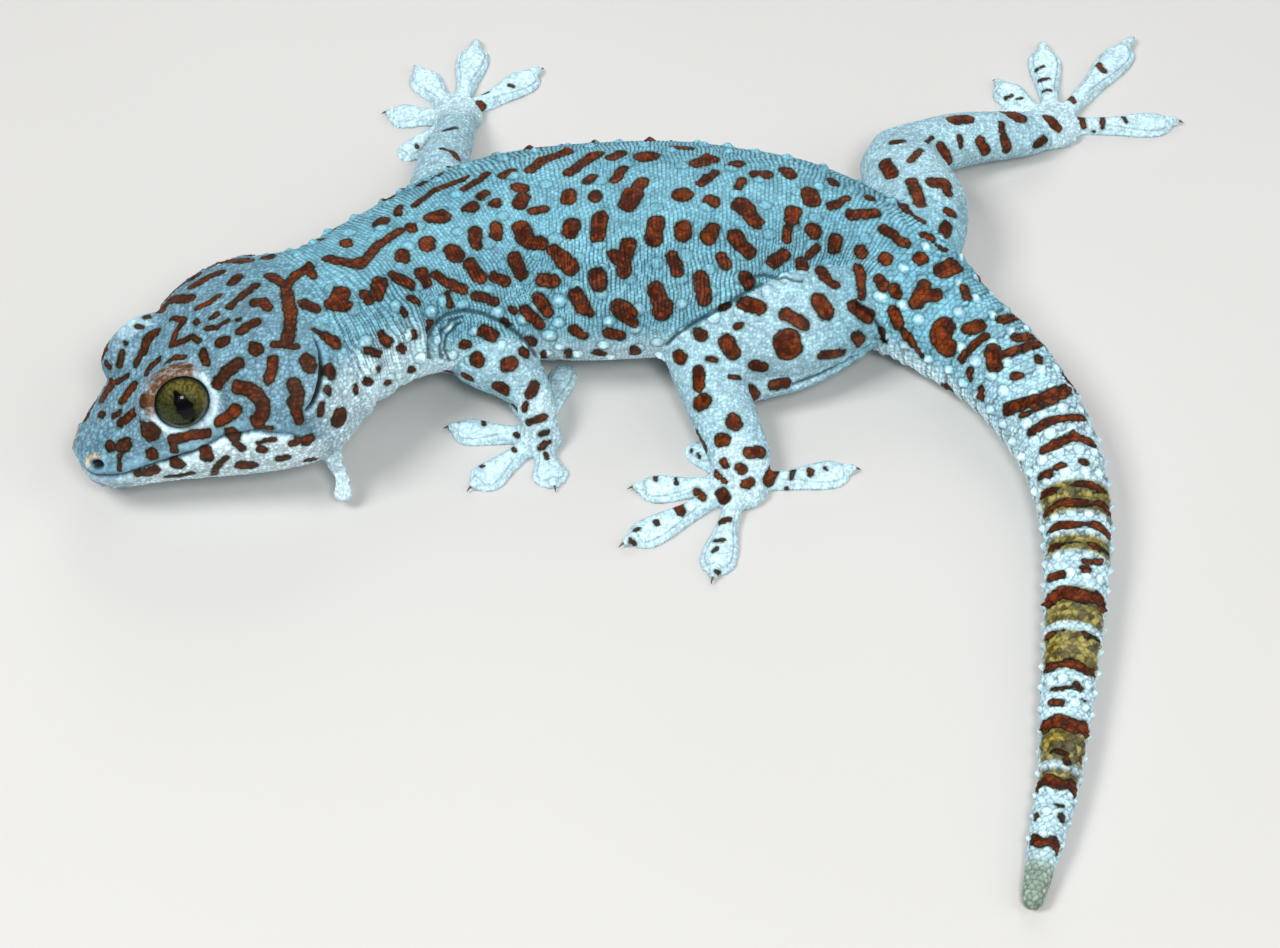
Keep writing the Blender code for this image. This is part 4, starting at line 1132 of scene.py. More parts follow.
def add_tubercles(skin, start, end, along_step, across_step, widest, size, height):
    """Staggered rows of blunt cones over the back and sides of the spine."""
    for row, s in enumerate(np.arange(start, end, along_step)):
        step = math.degrees(across_step / girth(SPINE, s))
        last = int(widest / step) + 1
        for column in range(-last, last + 1):
            shaken = random.uniform(-TUBERCLE_SHAKE, TUBERCLE_SHAKE) * step
            degrees = (column + 0.5 * (row % 2)) * step + shaken
            if abs(degrees) > widest or random.random() < TUBERCLE_GAPS:
                continue
            growth = random.uniform(*TUBERCLE_GROWTH)
            shift = random.uniform(-TUBERCLE_SHAKE, TUBERCLE_SHAKE) * along_step
            place, normal, along = SPINE.surface(s + shift, degrees)
            radii = (size * growth * 1.1, size * growth)
            white = 0.75 * soft_step(abs(degrees), 35.0, 70.0) * (s > NECK_START)
            skin.stamp_dome(place, along, normal, radii, height * growth, lean=1.0, white=white)


def before_tip(s):
    """1 along the tail and 0 on its plain tip."""
    return soft_step(s, TAIL_TIP_START + 1.0, TAIL_TIP_START - 1.0)


def add_whorls(skin):
    """Rings of scales on the tail. Each rises to its rear edge, where its tubercles stand."""
    on = skin.on
    share = ((on.s - TAIL_START) / WHORL_LENGTH) % 1.0
    rise = WHORL_STEP * share ** 1.4 * soft_step(share, 1.0, 0.9)
    window = soft_step(on.s, TAIL_START, TAIL_START + 8.0) * before_tip(on.s)
    skin.raised += rise * window * on.is_spine
    for number in range(int((TAIL_TIP_START - TAIL_START) / WHORL_LENGTH)):
        s = TAIL_START + WHORL_LENGTH * (number + WHORL_CREST)
        size = min(1.0, (girth(SPINE, s) / WHORL_GIRTH) ** 0.5)
        for degrees, radius, height in WHORL_TUBERCLES:
            for side in (1.0, -1.0):
                turn = side * (degrees + random.uniform(-WHORL_SHAKE, WHORL_SHAKE))
                place, normal, along = SPINE.surface(s, turn)
                radii = np.array((1.15, 1.0)) * radius * size
                skin.stamp_dome(place, along, normal, radii, height * size, lean=1.6)


def open_eyes(skin):
    """Round openings that hug each eyeball, each in a pale ring, with a rusty fringe above and shade painted
    at the lids' edge.
    """
    rim_depth = math.sqrt(EYE_RADIUS ** 2 - EYE_OPENING ** 2) + LID_RIM
    for (centre, look), reach in zip(EYES, FRINGE_REACHES):
        offset = skin.places - centre
        depth = offset @ look
        across = np.linalg.norm(offset - depth[:, None] * look, axis=1)
        index = np.nonzero((depth > 0.0) & (depth < EYE_AREA) & (across < EYE_AREA))[0]
        offset, depth, across = offset[index], depth[index], across[index]
        beyond = soft_step(across, EYE_OPENING + 0.9, EYE_OPENING + LID_REACH)
        settled = rim_depth + (depth - rim_depth) * beyond
        settled += 0.2 * ridge(across - EYE_OPENING - 0.7, 0.5)
        behind = np.sqrt(np.maximum((EYE_RADIUS - LID_DEPTH) ** 2 - across ** 2, 0.0))
        opened = soft_step(across, EYE_OPENING + 0.15, EYE_OPENING - 0.35)
        target = settled * (1.0 - opened) + behind * opened
        moved = (target - depth) * soft_step(depth, 0.0, 1.6)
        skin.places[index] += moved[:, None] * look
        aside = unit(offset - depth[:, None] * look)
        above_front = soft_step(aside @ unit(0.9 * HEAD_UP - 0.42 * HEAD_BACK), 0.1, 0.55)
        fringe = soft_step(across, EYE_OPENING - 0.2, EYE_OPENING + 0.3)
        fringe *= soft_step(across, EYE_OPENING + reach, EYE_OPENING + 0.6 * reach)
        skin.rim[index] = fringe * above_front
        skin.pale[index] = LID_PALE * reach * ridge(across - EYE_OPENING - 0.9, 0.9)
        skin.smooth[index] = soft_step(across, EYE_OPENING + 1.6, EYE_OPENING + 0.8)
        skin.crease_shade[index] = 0.9 * soft_step(across, EYE_OPENING + 0.25, EYE_OPENING - 0.1)
    skin.settle()


def part_lips(skin):
    """The line of the mouth, its lips and the seams between the lip scales, with shade painted along the
    mouth's line.
    """
    back, side, up = skin.head.T
    above = up - np.interp(back, *np.array(MOUTH_LINE).T)
    reach = soft_step(back, 34.5, 31.0) * (skin.on.is_spine | (back < 30.0))
    skin.sunk += MOUTH_DEPTH * ridge(above, 0.3) * reach
    skin.raised += LIP_HEIGHT * (ridge(above - LIP_OFFSET, 0.7) + ridge(above + LIP_OFFSET, 0.7)) * reach
    along_lip = np.hypot(back, side)
    seam = ridge(((along_lip / LIP_SCALE) % 1.0 - 0.5) * LIP_SCALE, 0.16)
    lip = soft_step(np.abs(above), 0.2, 0.5) * soft_step(np.abs(above), 2.6, 2.1) * reach
    skin.sunk += LIP_SEAM_DEPTH * seam * lip
    skin.lip = lip
    skin.mouth = 0.75 * ridge(above, 0.25) * soft_step(back, 32.0, 20.0) * reach


def open_nostrils(skin):
    """Oval nostrils, sunk and painted dark inside as shade, with a cream rim above and in front."""
    for side in (1.0, -1.0):
        offset = skin.head - NOSTRIL * (1.0, side, 1.0)
        size = np.linalg.norm(offset / NOSTRIL_RADII, axis=1)
        above_front = soft_step(unit(offset) @ unit(np.array((-0.7, 0.0, 0.7))), 0.1, 0.6)
        skin.sunk += NOSTRIL_DEPTH * soft_step(size, 1.0, 0.45)
        skin.raised += NOSTRIL_RIM * ridge(size - 1.35, 0.3)
        skin.cream = np.maximum(skin.cream, ridge(size - 1.3, 0.3) * above_front)
        skin.mouth = np.maximum(skin.mouth, soft_step(size, 1.0, 0.7))
        skin.smooth = np.maximum(skin.smooth, soft_step(size, 1.5, 1.1))


def open_ears(skin, item):
    """A curved slit behind each cheek, with a low lip round it and shade painted in the slit."""
    seen = struck_places(item, *EAR_PATH)
    for hits in (seen, other_side(item, seen, np.zeros(3))):
        for number, ((first, normal), (last, _)) in enumerate(zip(hits[:-1], hits[1:])):
            share = number / (len(hits) - 1)
            width = np.interp(share, np.linspace(0.0, 1.0, len(EAR_WIDTHS)), EAR_WIDTHS)
            skin.stamp_rod(first, last, normal, width, "slit")
    skin.sunk += EAR_DEPTH * soft_step(skin.slit, -0.2, 0.5)
    skin.raised += EAR_LIP * ridge(skin.slit + 0.7, 0.45)
    skin.mouth = np.maximum(skin.mouth, soft_step(skin.slit, -0.05, 0.35))
    skin.smooth = np.maximum(skin.smooth, soft_step(skin.slit, -0.5, -0.2))


def fold_limb_roots(skin, item):
    """The creases that the photograph shows at the shoulder and the thigh, sunk and with shade painted in
    them.
    """
    for enlargement in (TORSO_FOLDS, HIP_FOLDS):
        draw_seen(skin, item, *enlargement, "fold")
    skin.sunk += FOLD_DEPTH * soft_step(skin.fold, -0.35, 0.25)
    skin.raised += FOLD_LIP * ridge(skin.fold + 0.75, 0.45)
    skin.crease_shade = np.maximum(skin.crease_shade, soft_step(skin.fold, -0.2, 0.1))


def fold_neck(skin):
    """Loose folds across the sides of the neck, behind the ears, and rings round the limbs' roots."""
    on = skin.on
    side = soft_step(np.abs(on.degrees), 42.0, 66.0) * soft_step(np.abs(on.degrees), 150.0, 125.0)
    window = soft_step(on.s, 42.0, 45.0) * soft_step(on.s, 62.0, 56.0) * on.is_spine
    wave = np.sin((on.s + 0.035 * np.abs(on.degrees)) * 2 * np.pi / NECK_FOLD_LENGTH)
    skin.raised += NECK_FOLD * wave * side * window
    for name in LEGS:
        root = UPPER[name].centre[0]
        distance = np.linalg.norm(skin.places - root, axis=1)
        ring = np.sin(distance * 2 * np.pi / LIMB_FOLD_LENGTH)
        reach = UPPER[name].half_width[0]
        window = soft_step(distance, reach - 1.0, reach + 0.5) * soft_step(distance, reach + 6.0, reach + 3.5)
        skin.raised += LIMB_FOLD * ring * window


def shape_toes(skin):
    """Pads with a beaded margin outside a narrow groove, and cross ridges under them. Shade is painted in the
    groove and in ticks along the beaded margin.
    """
    on = skin.on
    height = skin.places[:, 2]
    pad = soft_step(on.share, 0.28, 0.48) * on.is_toe
    upper = soft_step(skin.normals[:, 2], -0.1, 0.3)
    bead = 1.0 + 0.35 * np.sin(on.s * 2 * np.pi / FRINGE_BEAD)
    skin.raised += pad * PAD_MARGIN * soft_step(height, 1.1, 0.35) * bead
    groove = pad * upper * ridge(on.margin - PAD_GROOVE, 0.2)
    skin.sunk += PAD_GROOVE_DEPTH * groove
    ticks = 0.5 + 0.5 * np.cos(on.s * 2 * np.pi / FRINGE_BEAD)
    beads = pad * upper * ticks * soft_step(on.margin, PAD_GROOVE - 0.05, PAD_GROOVE - 0.25)
    skin.crease_shade = np.maximum(skin.crease_shade, np.maximum(0.6 * groove, 0.45 * beads))
    below = (skin.normals[:, 2] < -0.5) & (height < 0.6)
    from_ridge = ((on.s / PAD_RIDGE) % 1.0 - 0.5) * PAD_RIDGE
    skin.sunk += pad * below * PAD_RIDGE_DEPTH * ridge(from_ridge, 0.2)


def pebbles(places, size):
    """Scales as the cells of a shaken cubic lattice, where rows don't run straight. Each place has a size."""
    size = size[:, None]
    cell = np.floor(places / size).astype(int)
    nearest = np.full(len(places), 9.0)
    second = np.full(len(places), 9.0)
    number = np.zeros(len(places))
    for step in itertools.product((-1, 0, 1), repeat=3):
        x, y, z = (cell + step).T
        shake = np.stack([scatter(x, y, z, axis) for axis in range(3)], 1)
        centre = (np.stack([x, y, z], 1) + 0.5 + 0.7 * (shake - 0.5)) * size
        gap = np.linalg.norm(centre - places, axis=1)
        closer = gap < nearest
        second = np.where(closer, nearest, np.minimum(second, gap))
        number = np.where(closer, scatter(x, y, z, 5), number)
        nearest = np.minimum(nearest, gap)
    return SimpleNamespace(border=(second - nearest) / 2, number=number)


def cover_with_scales(skin):
    """Small domed scales everywhere: rows across the body, overlapping on the tail, pebbles elsewhere, with
    shade painted in the grooves between them.
    """
    on = skin.on
    waver = 0.2 * np.sin(on.arc * 0.55 + 0.4 * on.s) + 0.12 * np.sin(on.arc * 1.3)
    body_place = SimpleNamespace(s=on.s + waver, arc=on.arc, part=on.part)
    body = scales(body_place, BODY_ROW, BODY_SCALE, BODY_JITTER)
    scallop = 0.3 * np.abs(np.sin(on.arc * math.pi / TAIL_SCALE))
    from_start = on.s - TAIL_START + scallop
    tail_place = SimpleNamespace(s=from_start, arc=on.arc, part=on.part)
    tail = scales(tail_place, WHORL_LENGTH / WHORL_ROWS, TAIL_SCALE, TAIL_JITTER)
    on_tail = on.is_spine & (on.s > TAIL_START)
    border = np.where(on_tail, tail.border, body.border)
    skin.cell = np.where(on_tail, tail.number, body.number)
    # Painted shade between the scales: how dark it is at their borders, and along the rows and whorls, weaker
    # along the top and on the lower flank
    border_shade = np.where(on_tail, 0.6, BODY_SCALE_SHADE)
    away = np.abs(on.degrees)
    clear = 0.7 + 0.3 * soft_step(away, 10.0, 40.0) - 0.45 * soft_step(away, 70.0, 95.0)
    body_rows = BODY_ROW_GROOVE * clear * ridge(body.row_edge, 0.16)
    row_groove = np.where(on_tail, 0.35 * ridge(tail.row_edge, 0.16), body_rows)
    whorl_edge = (0.5 - np.abs(from_start / WHORL_LENGTH % 1.0 - 0.5)) * WHORL_LENGTH
    growing = soft_step(on.s, TAIL_START, TAIL_START + 20.0) * before_tip(on.s)
    row_groove = np.maximum(row_groove, on_tail * growing * WHORL_GROOVE * ridge(whorl_edge, 0.22))
    on_head = (skin.head[:, 0] < NECK_START) & on.is_spine
    loose = np.nonzero(on_head | ~on.is_spine)[0]
    size = np.where(on_head, HEAD_BEAD, np.where(on.is_toe, TOE_BEAD, LIMB_BEAD))[loose]
    found = pebbles(skin.places[loose], size)
    border[loose] = found.border
    skin.cell[loose] = found.number
    row_groove[loose] = 0.0
    border_shade[loose] = np.where(on_head, HEAD_GROOVE_SHADE, np.where(on.is_toe, TOE_GROOVE_SHADE, LIMB_GROOVE_SHADE))[loose]
    # Less shade is painted on the lips and on smooth skin, and the creases add their own painted shade
    plain = (1.0 - 0.5 * skin.lip) * (1.0 - 0.85 * skin.smooth)
    between = np.maximum(border_shade * (1.0 - soft_step(border, 0.0, 0.24)), row_groove)
    skin.groove = np.maximum(between * plain, skin.crease_shade)
    height = BEAD_HEIGHT * np.where(on_tail, 1.5, 1.0)
    skin.raised += height * soft_step(border, 0.0, 0.34) * (1.0 - 0.7 * row_groove) * plain
    skin.raised += TAIL_OVERLAP * tail.rear * on_tail


def stored(skin):
    """The moved places and the fields go into the mesh."""
    moved = skin.places + skin.normals * (skin.raised - skin.sunk)[:, None]
    moved[:, 2] = np.maximum(moved[:, 2], 0.0)
    skin.mesh.vertices.foreach_set("co", (moved * MM).astype(np.float32).ravel())
    for name in FIELDS:
        layer = skin.mesh.attributes.new(name, "FLOAT", "POINT")
        layer.data.foreach_set("value", getattr(skin, name).astype(np.float32))
    skin.mesh.update()


def hidden(place, normal):
    """Whether a place on the skin faces away from the camera, or nearly so."""
    return normal @ unit(CAMERA_PLACE - place) < HIDDEN_BELOW


def spaced(path, step):
    """A path in pixels with points added, so that no step is longer than a given one."""
    points = [np.array(path[0], float)]
    for first, last in zip(path[:-1], path[1:]):
        count = max(1, math.ceil(math.dist(first, last) / step))
        for k in range(1, count + 1):
            points.append(np.array(first) + (np.array(last) - np.array(first)) * k / count)
    return points


def struck_places(item, corner, scale, path):
    """Where the camera's rays through the pixels of a path meet the skin, with the normals there."""
    hits = []
    for x, y in spaced(path, PATH_STEP * scale):
        ray = pixel_ray(corner[0] + x / scale, corner[1] + y / scale)
        struck, place, normal, _ = item.ray_cast(Vector(CAMERA_PLACE * MM), Vector(ray))
        if struck:
            hits.append((np.array(place) / MM, np.array(normal)))
    return hits


def other_side(item, hits, shift):
    """Places on the head's left side carried over to its right, a little moved."""
    across = np.array((1.0, -1.0, 1.0))
    found = []
    for place, _ in hits:
        offset = HEAD_AXES @ (place - SNOUT)
        if offset[1] < LEAST_ASIDE * head_half_width(offset[0]) or offset[0] > NECK_START:
            continue
        _, other, normal, _ = item.closest_point_on_mesh(Vector(head_point((offset + shift) * across) * MM))
        found.append((np.array(other) / MM, np.array(normal)))
    return found


def widened(first, last, normal, width):
    """A stroke's width on skin that turns away from the camera and so shows it narrowed."""
    view = unit(CAMERA_PLACE - first)
    facing = np.clip(normal @ view, 0.4, 1.0)
    along_outline = abs(unit(last - first) @ unit(np.cross(normal, view)))
    return width * (1.0 + NARROWING * along_outline * (1.0 / facing - 1.0))


def draw_stroke(skin, hits, width, field):
    for (first, normal), (last, _) in zip(hits[:-1], hits[1:]):
        if np.linalg.norm(last - first) < LONGEST_STEP:
            skin.stamp_rod(first, last, normal, widened(first, last, normal, width), field)


def draw_seen(skin, item, corner, scale, marks, field="mark"):
    """Strokes go where the photograph shows them on the side that the camera sees."""
    for width, *path in marks:
        draw_stroke(skin, struck_places(item, corner, scale, path), width, field)


def draw_mirrored(skin, item, corner, scale, marks):
    """The marks of the head's left side again on its right, a little moved."""
    for width, *path in marks:
        ahead = random.uniform(-MIRROR_SHIFT, MIRROR_SHIFT)
        higher = random.uniform(-MIRROR_LIFT, MIRROR_LIFT)
        seen = struck_places(item, corner, scale, path)
        hits = other_side(item, seen, np.array((ahead, 0.0, higher)))
        draw_stroke(skin, hits, width * random.uniform(*MIRROR_GROWTH), "mark")


def head_half_width(back):
    return np.interp(back, [row[0] for row in HEAD_SECTIONS], [row[1] for row in HEAD_SECTIONS])


def is_free(skin, place):
    """Whether no mark is near a place."""
    index, _ = skin.points.near(place, FREE_REACH)
    return len(index) > 0 and skin.mark[index].max() < -FREE_GAP


def spot_radius(mean, spread, least):
    return max(least, random.gauss(mean, spread))


def spot_body(skin):
    """Rows of rust spots on the sides of the body that the camera doesn't see."""
    for row, s in enumerate(np.arange(SPOTS_START, SPOTS_END, SPOT_ROW)):
        growth = TAIL_SPOT_GROWTH if s > TAIL_START else (1.0, 1.0)
        step = math.degrees(SPOT_APART / girth(SPINE, s))
        last = int(SPOT_SEARCH / step) + 1
        for column in range(-last, last + 1):
            degrees = (column + 0.5 * (row % 2) + random.uniform(-SPOT_SHAKE, SPOT_SHAKE)) * step
            thinned = SPOT_GAPS + 0.5 * (abs(degrees) > SPOTS_THIN)
            if abs(degrees) > SPOTS_STOP or random.random() < thinned:
                continue
            along_radius = spot_radius(*SPOT_ALONG) * growth[0]
            across_radius = spot_radius(*SPOT_ACROSS) * growth[1]
            if random.random() < BIG_SPOTS:
                along_radius *= BIG_SPOT_GROWTH[0]
                across_radius *= BIG_SPOT_GROWTH[1]
            if abs(degrees) > SPOTS_SHRINK:
                along_radius *= LOW_SPOT_SIZE
                across_radius *= LOW_SPOT_SIZE
            place, normal, along = SPINE.surface(s + random.uniform(-SPOT_SHIFT, SPOT_SHIFT), degrees)
            tilt = random.uniform(-SPOT_TILT, SPOT_TILT)
            turned_along = along * math.cos(tilt) + np.cross(normal, along) * math.sin(tilt)
            if hidden(place, normal) and is_free(skin, place):
                skin.stamp_spot(place, turned_along, normal, (along_radius, across_radius))


def band_tail(skin):
    """Brown lines round the tail, with olive stretches between them."""
    on = skin.on
    around = soft_step(np.abs(on.degrees), *TAIL_LINE_FADE) * TAIL_LINE_LOSS - TAIL_LINE_LOSS
    waver = 0.35 * np.sin(np.radians(on.degrees) * 5.0 + on.s)
    tail = on.is_spine & (on.s > SPOTS_END - 4.0)
    for s, half_width, broken in TAIL_LINES:
        gaps = broken * 1.6 * (np.sin(np.radians(on.degrees) * 4.0 + s * 1.7) - 0.2)
        inside = half_width + waver - np.abs(on.s - s) + around - np.maximum(gaps, 0.0)
        skin.mark = np.where(tail, np.maximum(skin.mark, inside), skin.mark)
    for start, end in TAIL_OLIVE:
        window = soft_step(on.s, start - 1.0, start + 0.6) * soft_step(on.s, end + 1.0, end - 0.6)
        olive = window * tail * soft_step(np.abs(on.degrees), *TAIL_OLIVE_FADE)
        skin.olive = np.maximum(skin.olive, olive)


def spot_limbs(skin):
    """Round spots in loose rows on the sides of the limbs that the camera doesn't see."""
    for name in LEGS:
        for guide, size in zip((UPPER[name], LOWER[name]), LIMB_SPOT_SIZES[name[:4]]):
            for row, s in enumerate(np.arange(1.0, guide.length, LIMB_SPOT_ROW * size)):
                step = math.degrees(LIMB_SPOT_APART * size / girth(guide, s))
                for column in range(int(360.0 / step)):
                    shake = random.uniform(-LIMB_SPOT_SHAKE, LIMB_SPOT_SHAKE)
                    degrees = (column + 0.5 * (row % 2) + shake) * step
                    shift = random.uniform(-LIMB_SPOT_SHIFT, LIMB_SPOT_SHIFT)
                    place, normal, along = guide.surface(s + shift, degrees)
                    radius = size * random.uniform(*LIMB_SPOT_RADIUS)
                    stretch = random.uniform(*LIMB_SPOT_STRETCH)
                    left_out = normal[2] < LIMB_SPOTS_LOWEST or random.random() < LIMB_SPOT_GAPS
                    if hidden(place, normal) and not left_out and is_free(skin, place):
                        skin.stamp_spot(place, along, normal, (radius, radius * stretch))


def pale_fields(skin):
    """How pale each place is: the belly and jaw, the limbs, the feet, the tail's rings and the tips."""
    on = skin.on
    belly = BELLY_PALE * soft_step(np.abs(on.degrees), 74.0, 110.0)
    belly = belly * soft_step(on.s, 42.0, 50.0) * on.is_spine
    tail = TAIL_PALE * soft_step(on.s, 165.0, 205.0) * on.is_spine
    upper_limb = (on.limb_piece == 0) * (0.1 + 0.3 * soft_step(on.s, 0.0, 16.0))
    limb = np.maximum(upper_limb, LIMB_PALE * (on.limb_piece > 0))
    limb += FOOT_PALE * (on.is_toe | on.is_palm) + LOBE_PALE * on.is_lobe
    above = skin.head[:, 2] - np.interp(skin.head[:, 0], *np.array(MOUTH_LINE).T)
    jaw = soft_step(above, 0.0, -0.9) * soft_step(skin.head[:, 0], 40.0, 33.0)
    jaw *= 0.35 + 0.65 * soft_step(skin.head[:, 0], 3.0, 10.0)
    throat = THROAT_PALE * soft_step(np.abs(on.degrees), 55.0, 85.0) * soft_step(on.s, 33.0, 40.0)
    throat *= soft_step(on.s, 60.0, 50.0)
    skin.pale = np.maximum.reduce([skin.pale, belly, tail, limb, jaw * on.is_spine, throat * on.is_spine])
    skin.head_tone = soft_step(on.s, 52.0, 34.0) * (on.is_spine | on.is_lobe)
    skin.tip = soft_step(on.s, TAIL_TIP_START - 0.5, TAIL_TIP_START + 3.5) * on.is_spine


class Shader:
    """One material's nodes, each made with its settings and links in one call."""

    def __init__(self, name):
        self.material = bpy.data.materials.new(name)
        self.material.use_nodes = True
        self.tree = self.material.node_tree
        self.surface = self.tree.nodes["Principled BSDF"]

    def feed(self, socket, value):
        if isinstance(value, bpy.types.NodeSocket):
            self.tree.links.new(value, socket)
        else:
            socket.default_value = value

    def node(self, kind, inputs, **settings):
        node = self.tree.nodes.new(kind)
        for name, value in settings.items():
            setattr(node, name, value)
        for name, value in inputs.items():
            self.feed(node.inputs[name], value)
        return node

    def field(self, name, output="Fac"):
        return self.node("ShaderNodeAttribute", {}, attribute_name=name).outputs[output]

    def place(self):
        return self.node("ShaderNodeTexCoord", {}).outputs["Object"]

    def noise(self, size, detail=3.0, vector=None):
        """Soft noise whose features are a size in millimetres."""
        inputs = {"Vector": vector or self.place(), "Scale": 1.0 / (size * MM), "Detail": detail}
        return self.node("ShaderNodeTexNoise", inputs).outputs["Fac"]

    def span(self, value, start, end, low=0.0, high=1.0):
        """low before start, high past end and a soft change between."""
        inputs = {"Value": value, "From Min": start, "From Max": end, "To Min": low, "To Max": high}
        return self.node("ShaderNodeMapRange", inputs, interpolation_type="SMOOTHSTEP").outputs["Result"]

    def sum(self, *values, operation="ADD"):
        total = values[0]
        for value in values[1:]:
            total = self.node("ShaderNodeMath", {0: total, 1: value}, operation=operation).outputs[0]
        return total

    def times(self, *values):
        return self.sum(*values, operation="MULTIPLY")

    def mix(self, factor, first, second):
        inputs = {0: factor, 6: first, 7: second}
        return self.node("ShaderNodeMix", inputs, data_type="RGBA").outputs[2]

    def shaded(self, colour, value):
        return self.node("ShaderNodeHueSaturation", {"Color": colour, "Value": value}).outputs[0]

    def bump(self, height, depth, under=None):
        inputs = {"Height": height, "Distance": depth * MM, "Strength": 1.0}
        if under:
            inputs["Normal"] = under
        return self.node("ShaderNodeBump", inputs).outputs[0]

    def finish(self, colour, roughness, normal):
        self.feed(self.surface.inputs["Base Color"], colour)
        self.feed(self.surface.inputs["Roughness"], roughness)
        self.feed(self.surface.inputs["Normal"], normal)
        return self.material


def ground_colour(shader):
    """Blue-grey skin, greyer on the head and whiter below, on the limbs and on the tail."""
    head = shader.mix(shader.noise(5.0), HEAD_BLUE, HEAD_GREY)
    body = shader.mix(shader.span(shader.noise(9.0), 0.3, 0.7), BODY_BLUE, BODY_BLUE_DEEP)
    ground = shader.mix(shader.field("head_tone"), body, head)
    ground = shader.mix(shader.field("pale"), ground, PALE_BLUE)
    ground = shader.mix(shader.span(shader.field("tubercle"), 0.15, 1.0, 0.0, 0.7), ground, TUBERCLE_WHITE)
    olive = shader.mix(shader.span(shader.field("cell"), 0.1, 0.9), OLIVE_DARK, OLIVE_GOLD)
    stain = shader.span(shader.noise(5.0), 0.35, 0.65, 0.94, 1.0)
    ground = shader.mix(shader.times(shader.field("olive"), stain), ground, olive)
    return shader.mix(shader.field("tip"), ground, TIP_GREEN)


def marked_colour(shader, ground):
    """Rust marks with a thin dark edge and an olive halo, ragged where they cross the scales."""
    ragged = shader.sum(
        shader.field("mark"),
        shader.times(shader.sum(shader.field("cell"), -0.5), 0.32),
        shader.times(shader.sum(shader.noise(2.0), -0.5), 0.6),
    )
    warmth = shader.sum(shader.noise(3.0), shader.times(shader.sum(shader.field("cell"), -0.5), 0.25))
    rust = shader.mix(shader.span(warmth, 0.35, 0.68), RUST, ORANGE)
    browner = shader.times(shader.field("head_tone"), shader.span(shader.noise(7.0), 0.35, 0.65))
    rust = shader.mix(browner, rust, HEAD_BROWN)
    colour = shader.mix(shader.span(ragged, -0.5, -0.1, 0.0, 0.6), ground, OLIVE_HALO)
    colour = shader.mix(shader.span(ragged, -0.16, 0.02, 0.0, 0.95), colour, DARK_EDGE)
    return shader.mix(shader.span(ragged, 0.1, 0.5), colour, rust)


def skin_material():
    shader = Shader("skin")
    colour = marked_colour(shader, ground_colour(shader))
    fringe = shader.times(shader.field("rim"), shader.span(shader.noise(0.9), 0.35, 0.6, 0.7, 1.0))
    colour = shader.mix(fringe, colour, FRINGE)
    colour = shader.mix(shader.times(shader.field("cream"), 0.9), colour, CREAM)
    # Painted shade in the mouth's line, the nostrils and the ear slits
    colour = shader.mix(shader.field("mouth"), colour, OPENING_SHADE)
    tone = shader.span(shader.field("cell"), 0.0, 1.0, 0.8, 1.2)
    # Painted highlight on the scales' tops, and painted shade in their grooves and in creases
    tone = shader.times(tone, shader.span(shader.field("groove"), 0.0, 1.0, 1.12, 0.24))
    tone = shader.times(tone, shader.span(shader.noise(0.4), 0.3, 0.7, 0.84, 1.16))
    tone = shader.times(tone, shader.span(shader.noise(14.0), 0.3, 0.7, 0.93, 1.06))
    colour = shader.shaded(colour, tone)
    uneven = shader.sum(shader.noise(2.0), shader.times(shader.field("groove"), 0.3))
    roughness = shader.span(uneven, 0.3, 0.9, 0.42, 0.68)
    fine = shader.bump(shader.noise(0.32, 4.0), 0.05)
    shader.surface.inputs["Specular IOR Level"].default_value = 0.18
    return shader.finish(colour, roughness, fine)


def eye_material():
    """A wet golden-green iris with fine veins, a dark rim and a jagged upright slit."""
    shader = Shader("eye")
    veins = shader.noise(400.0, 6.0, shader.field("rays", "Vector"))
    grains = shader.noise(0.45, 5.0)
    fleck = shader.times(shader.sum(veins, grains), 0.5)
    iris = shader.mix(shader.span(fleck, 0.38, 0.58), IRIS_DARK, IRIS_OLIVE)
    gold = shader.times(shader.span(fleck, 0.4, 0.6, 0.25, 1.0), shader.field("glow"))
    iris = shader.mix(gold, iris, IRIS_GOLD)
    iris = shader.mix(shader.field("rim"), iris, IRIS_RIM)
    iris = shader.mix(shader.span(shader.field("pupil"), -0.5, -0.05, 0.0, 0.6), iris, IRIS_DARK)
    colour = shader.mix(shader.span(shader.field("pupil"), -0.06, 0.06), iris, PUPIL)
    roughness = shader.span(veins, 0.3, 0.7, 0.16, 0.26)
    shader.surface.inputs["Coat Weight"].default_value = 0.5
    shader.surface.inputs["Coat Roughness"].default_value = 0.03
    shader.surface.inputs["Coat IOR"].default_value = 1.33
    shader.surface.inputs["Specular IOR Level"].default_value = 0.05
    return shader.finish(colour, roughness, shader.bump(veins, 0.05))


def claw_material():
    """Horn, pale at the root and dark at the point, streaked along."""
    shader = Shader("claw")
    streaks = shader.noise(0.5, 3.0)
    colour = shader.mix(shader.span(shader.field("along"), 0.1, 0.9), HORN_PALE, HORN_DARK)
    colour = shader.shaded(colour, shader.span(streaks, 0.3, 0.7, 0.8, 1.15))
    return shader.finish(colour, shader.span(streaks, 0.3, 0.7, 0.25, 0.4), shader.bump(streaks, 0.03))


def floor_material():
    shader = Shader("floor")
    cloud = shader.noise(160.0, 2.0)
    colour = shader.mix(cloud, FLOOR_PALE, FLOOR_WARM)
    return shader.finish(colour, shader.span(cloud, 0.3, 0.7, 0.6, 0.7), shader.bump(shader.noise(1.2), 0.02))


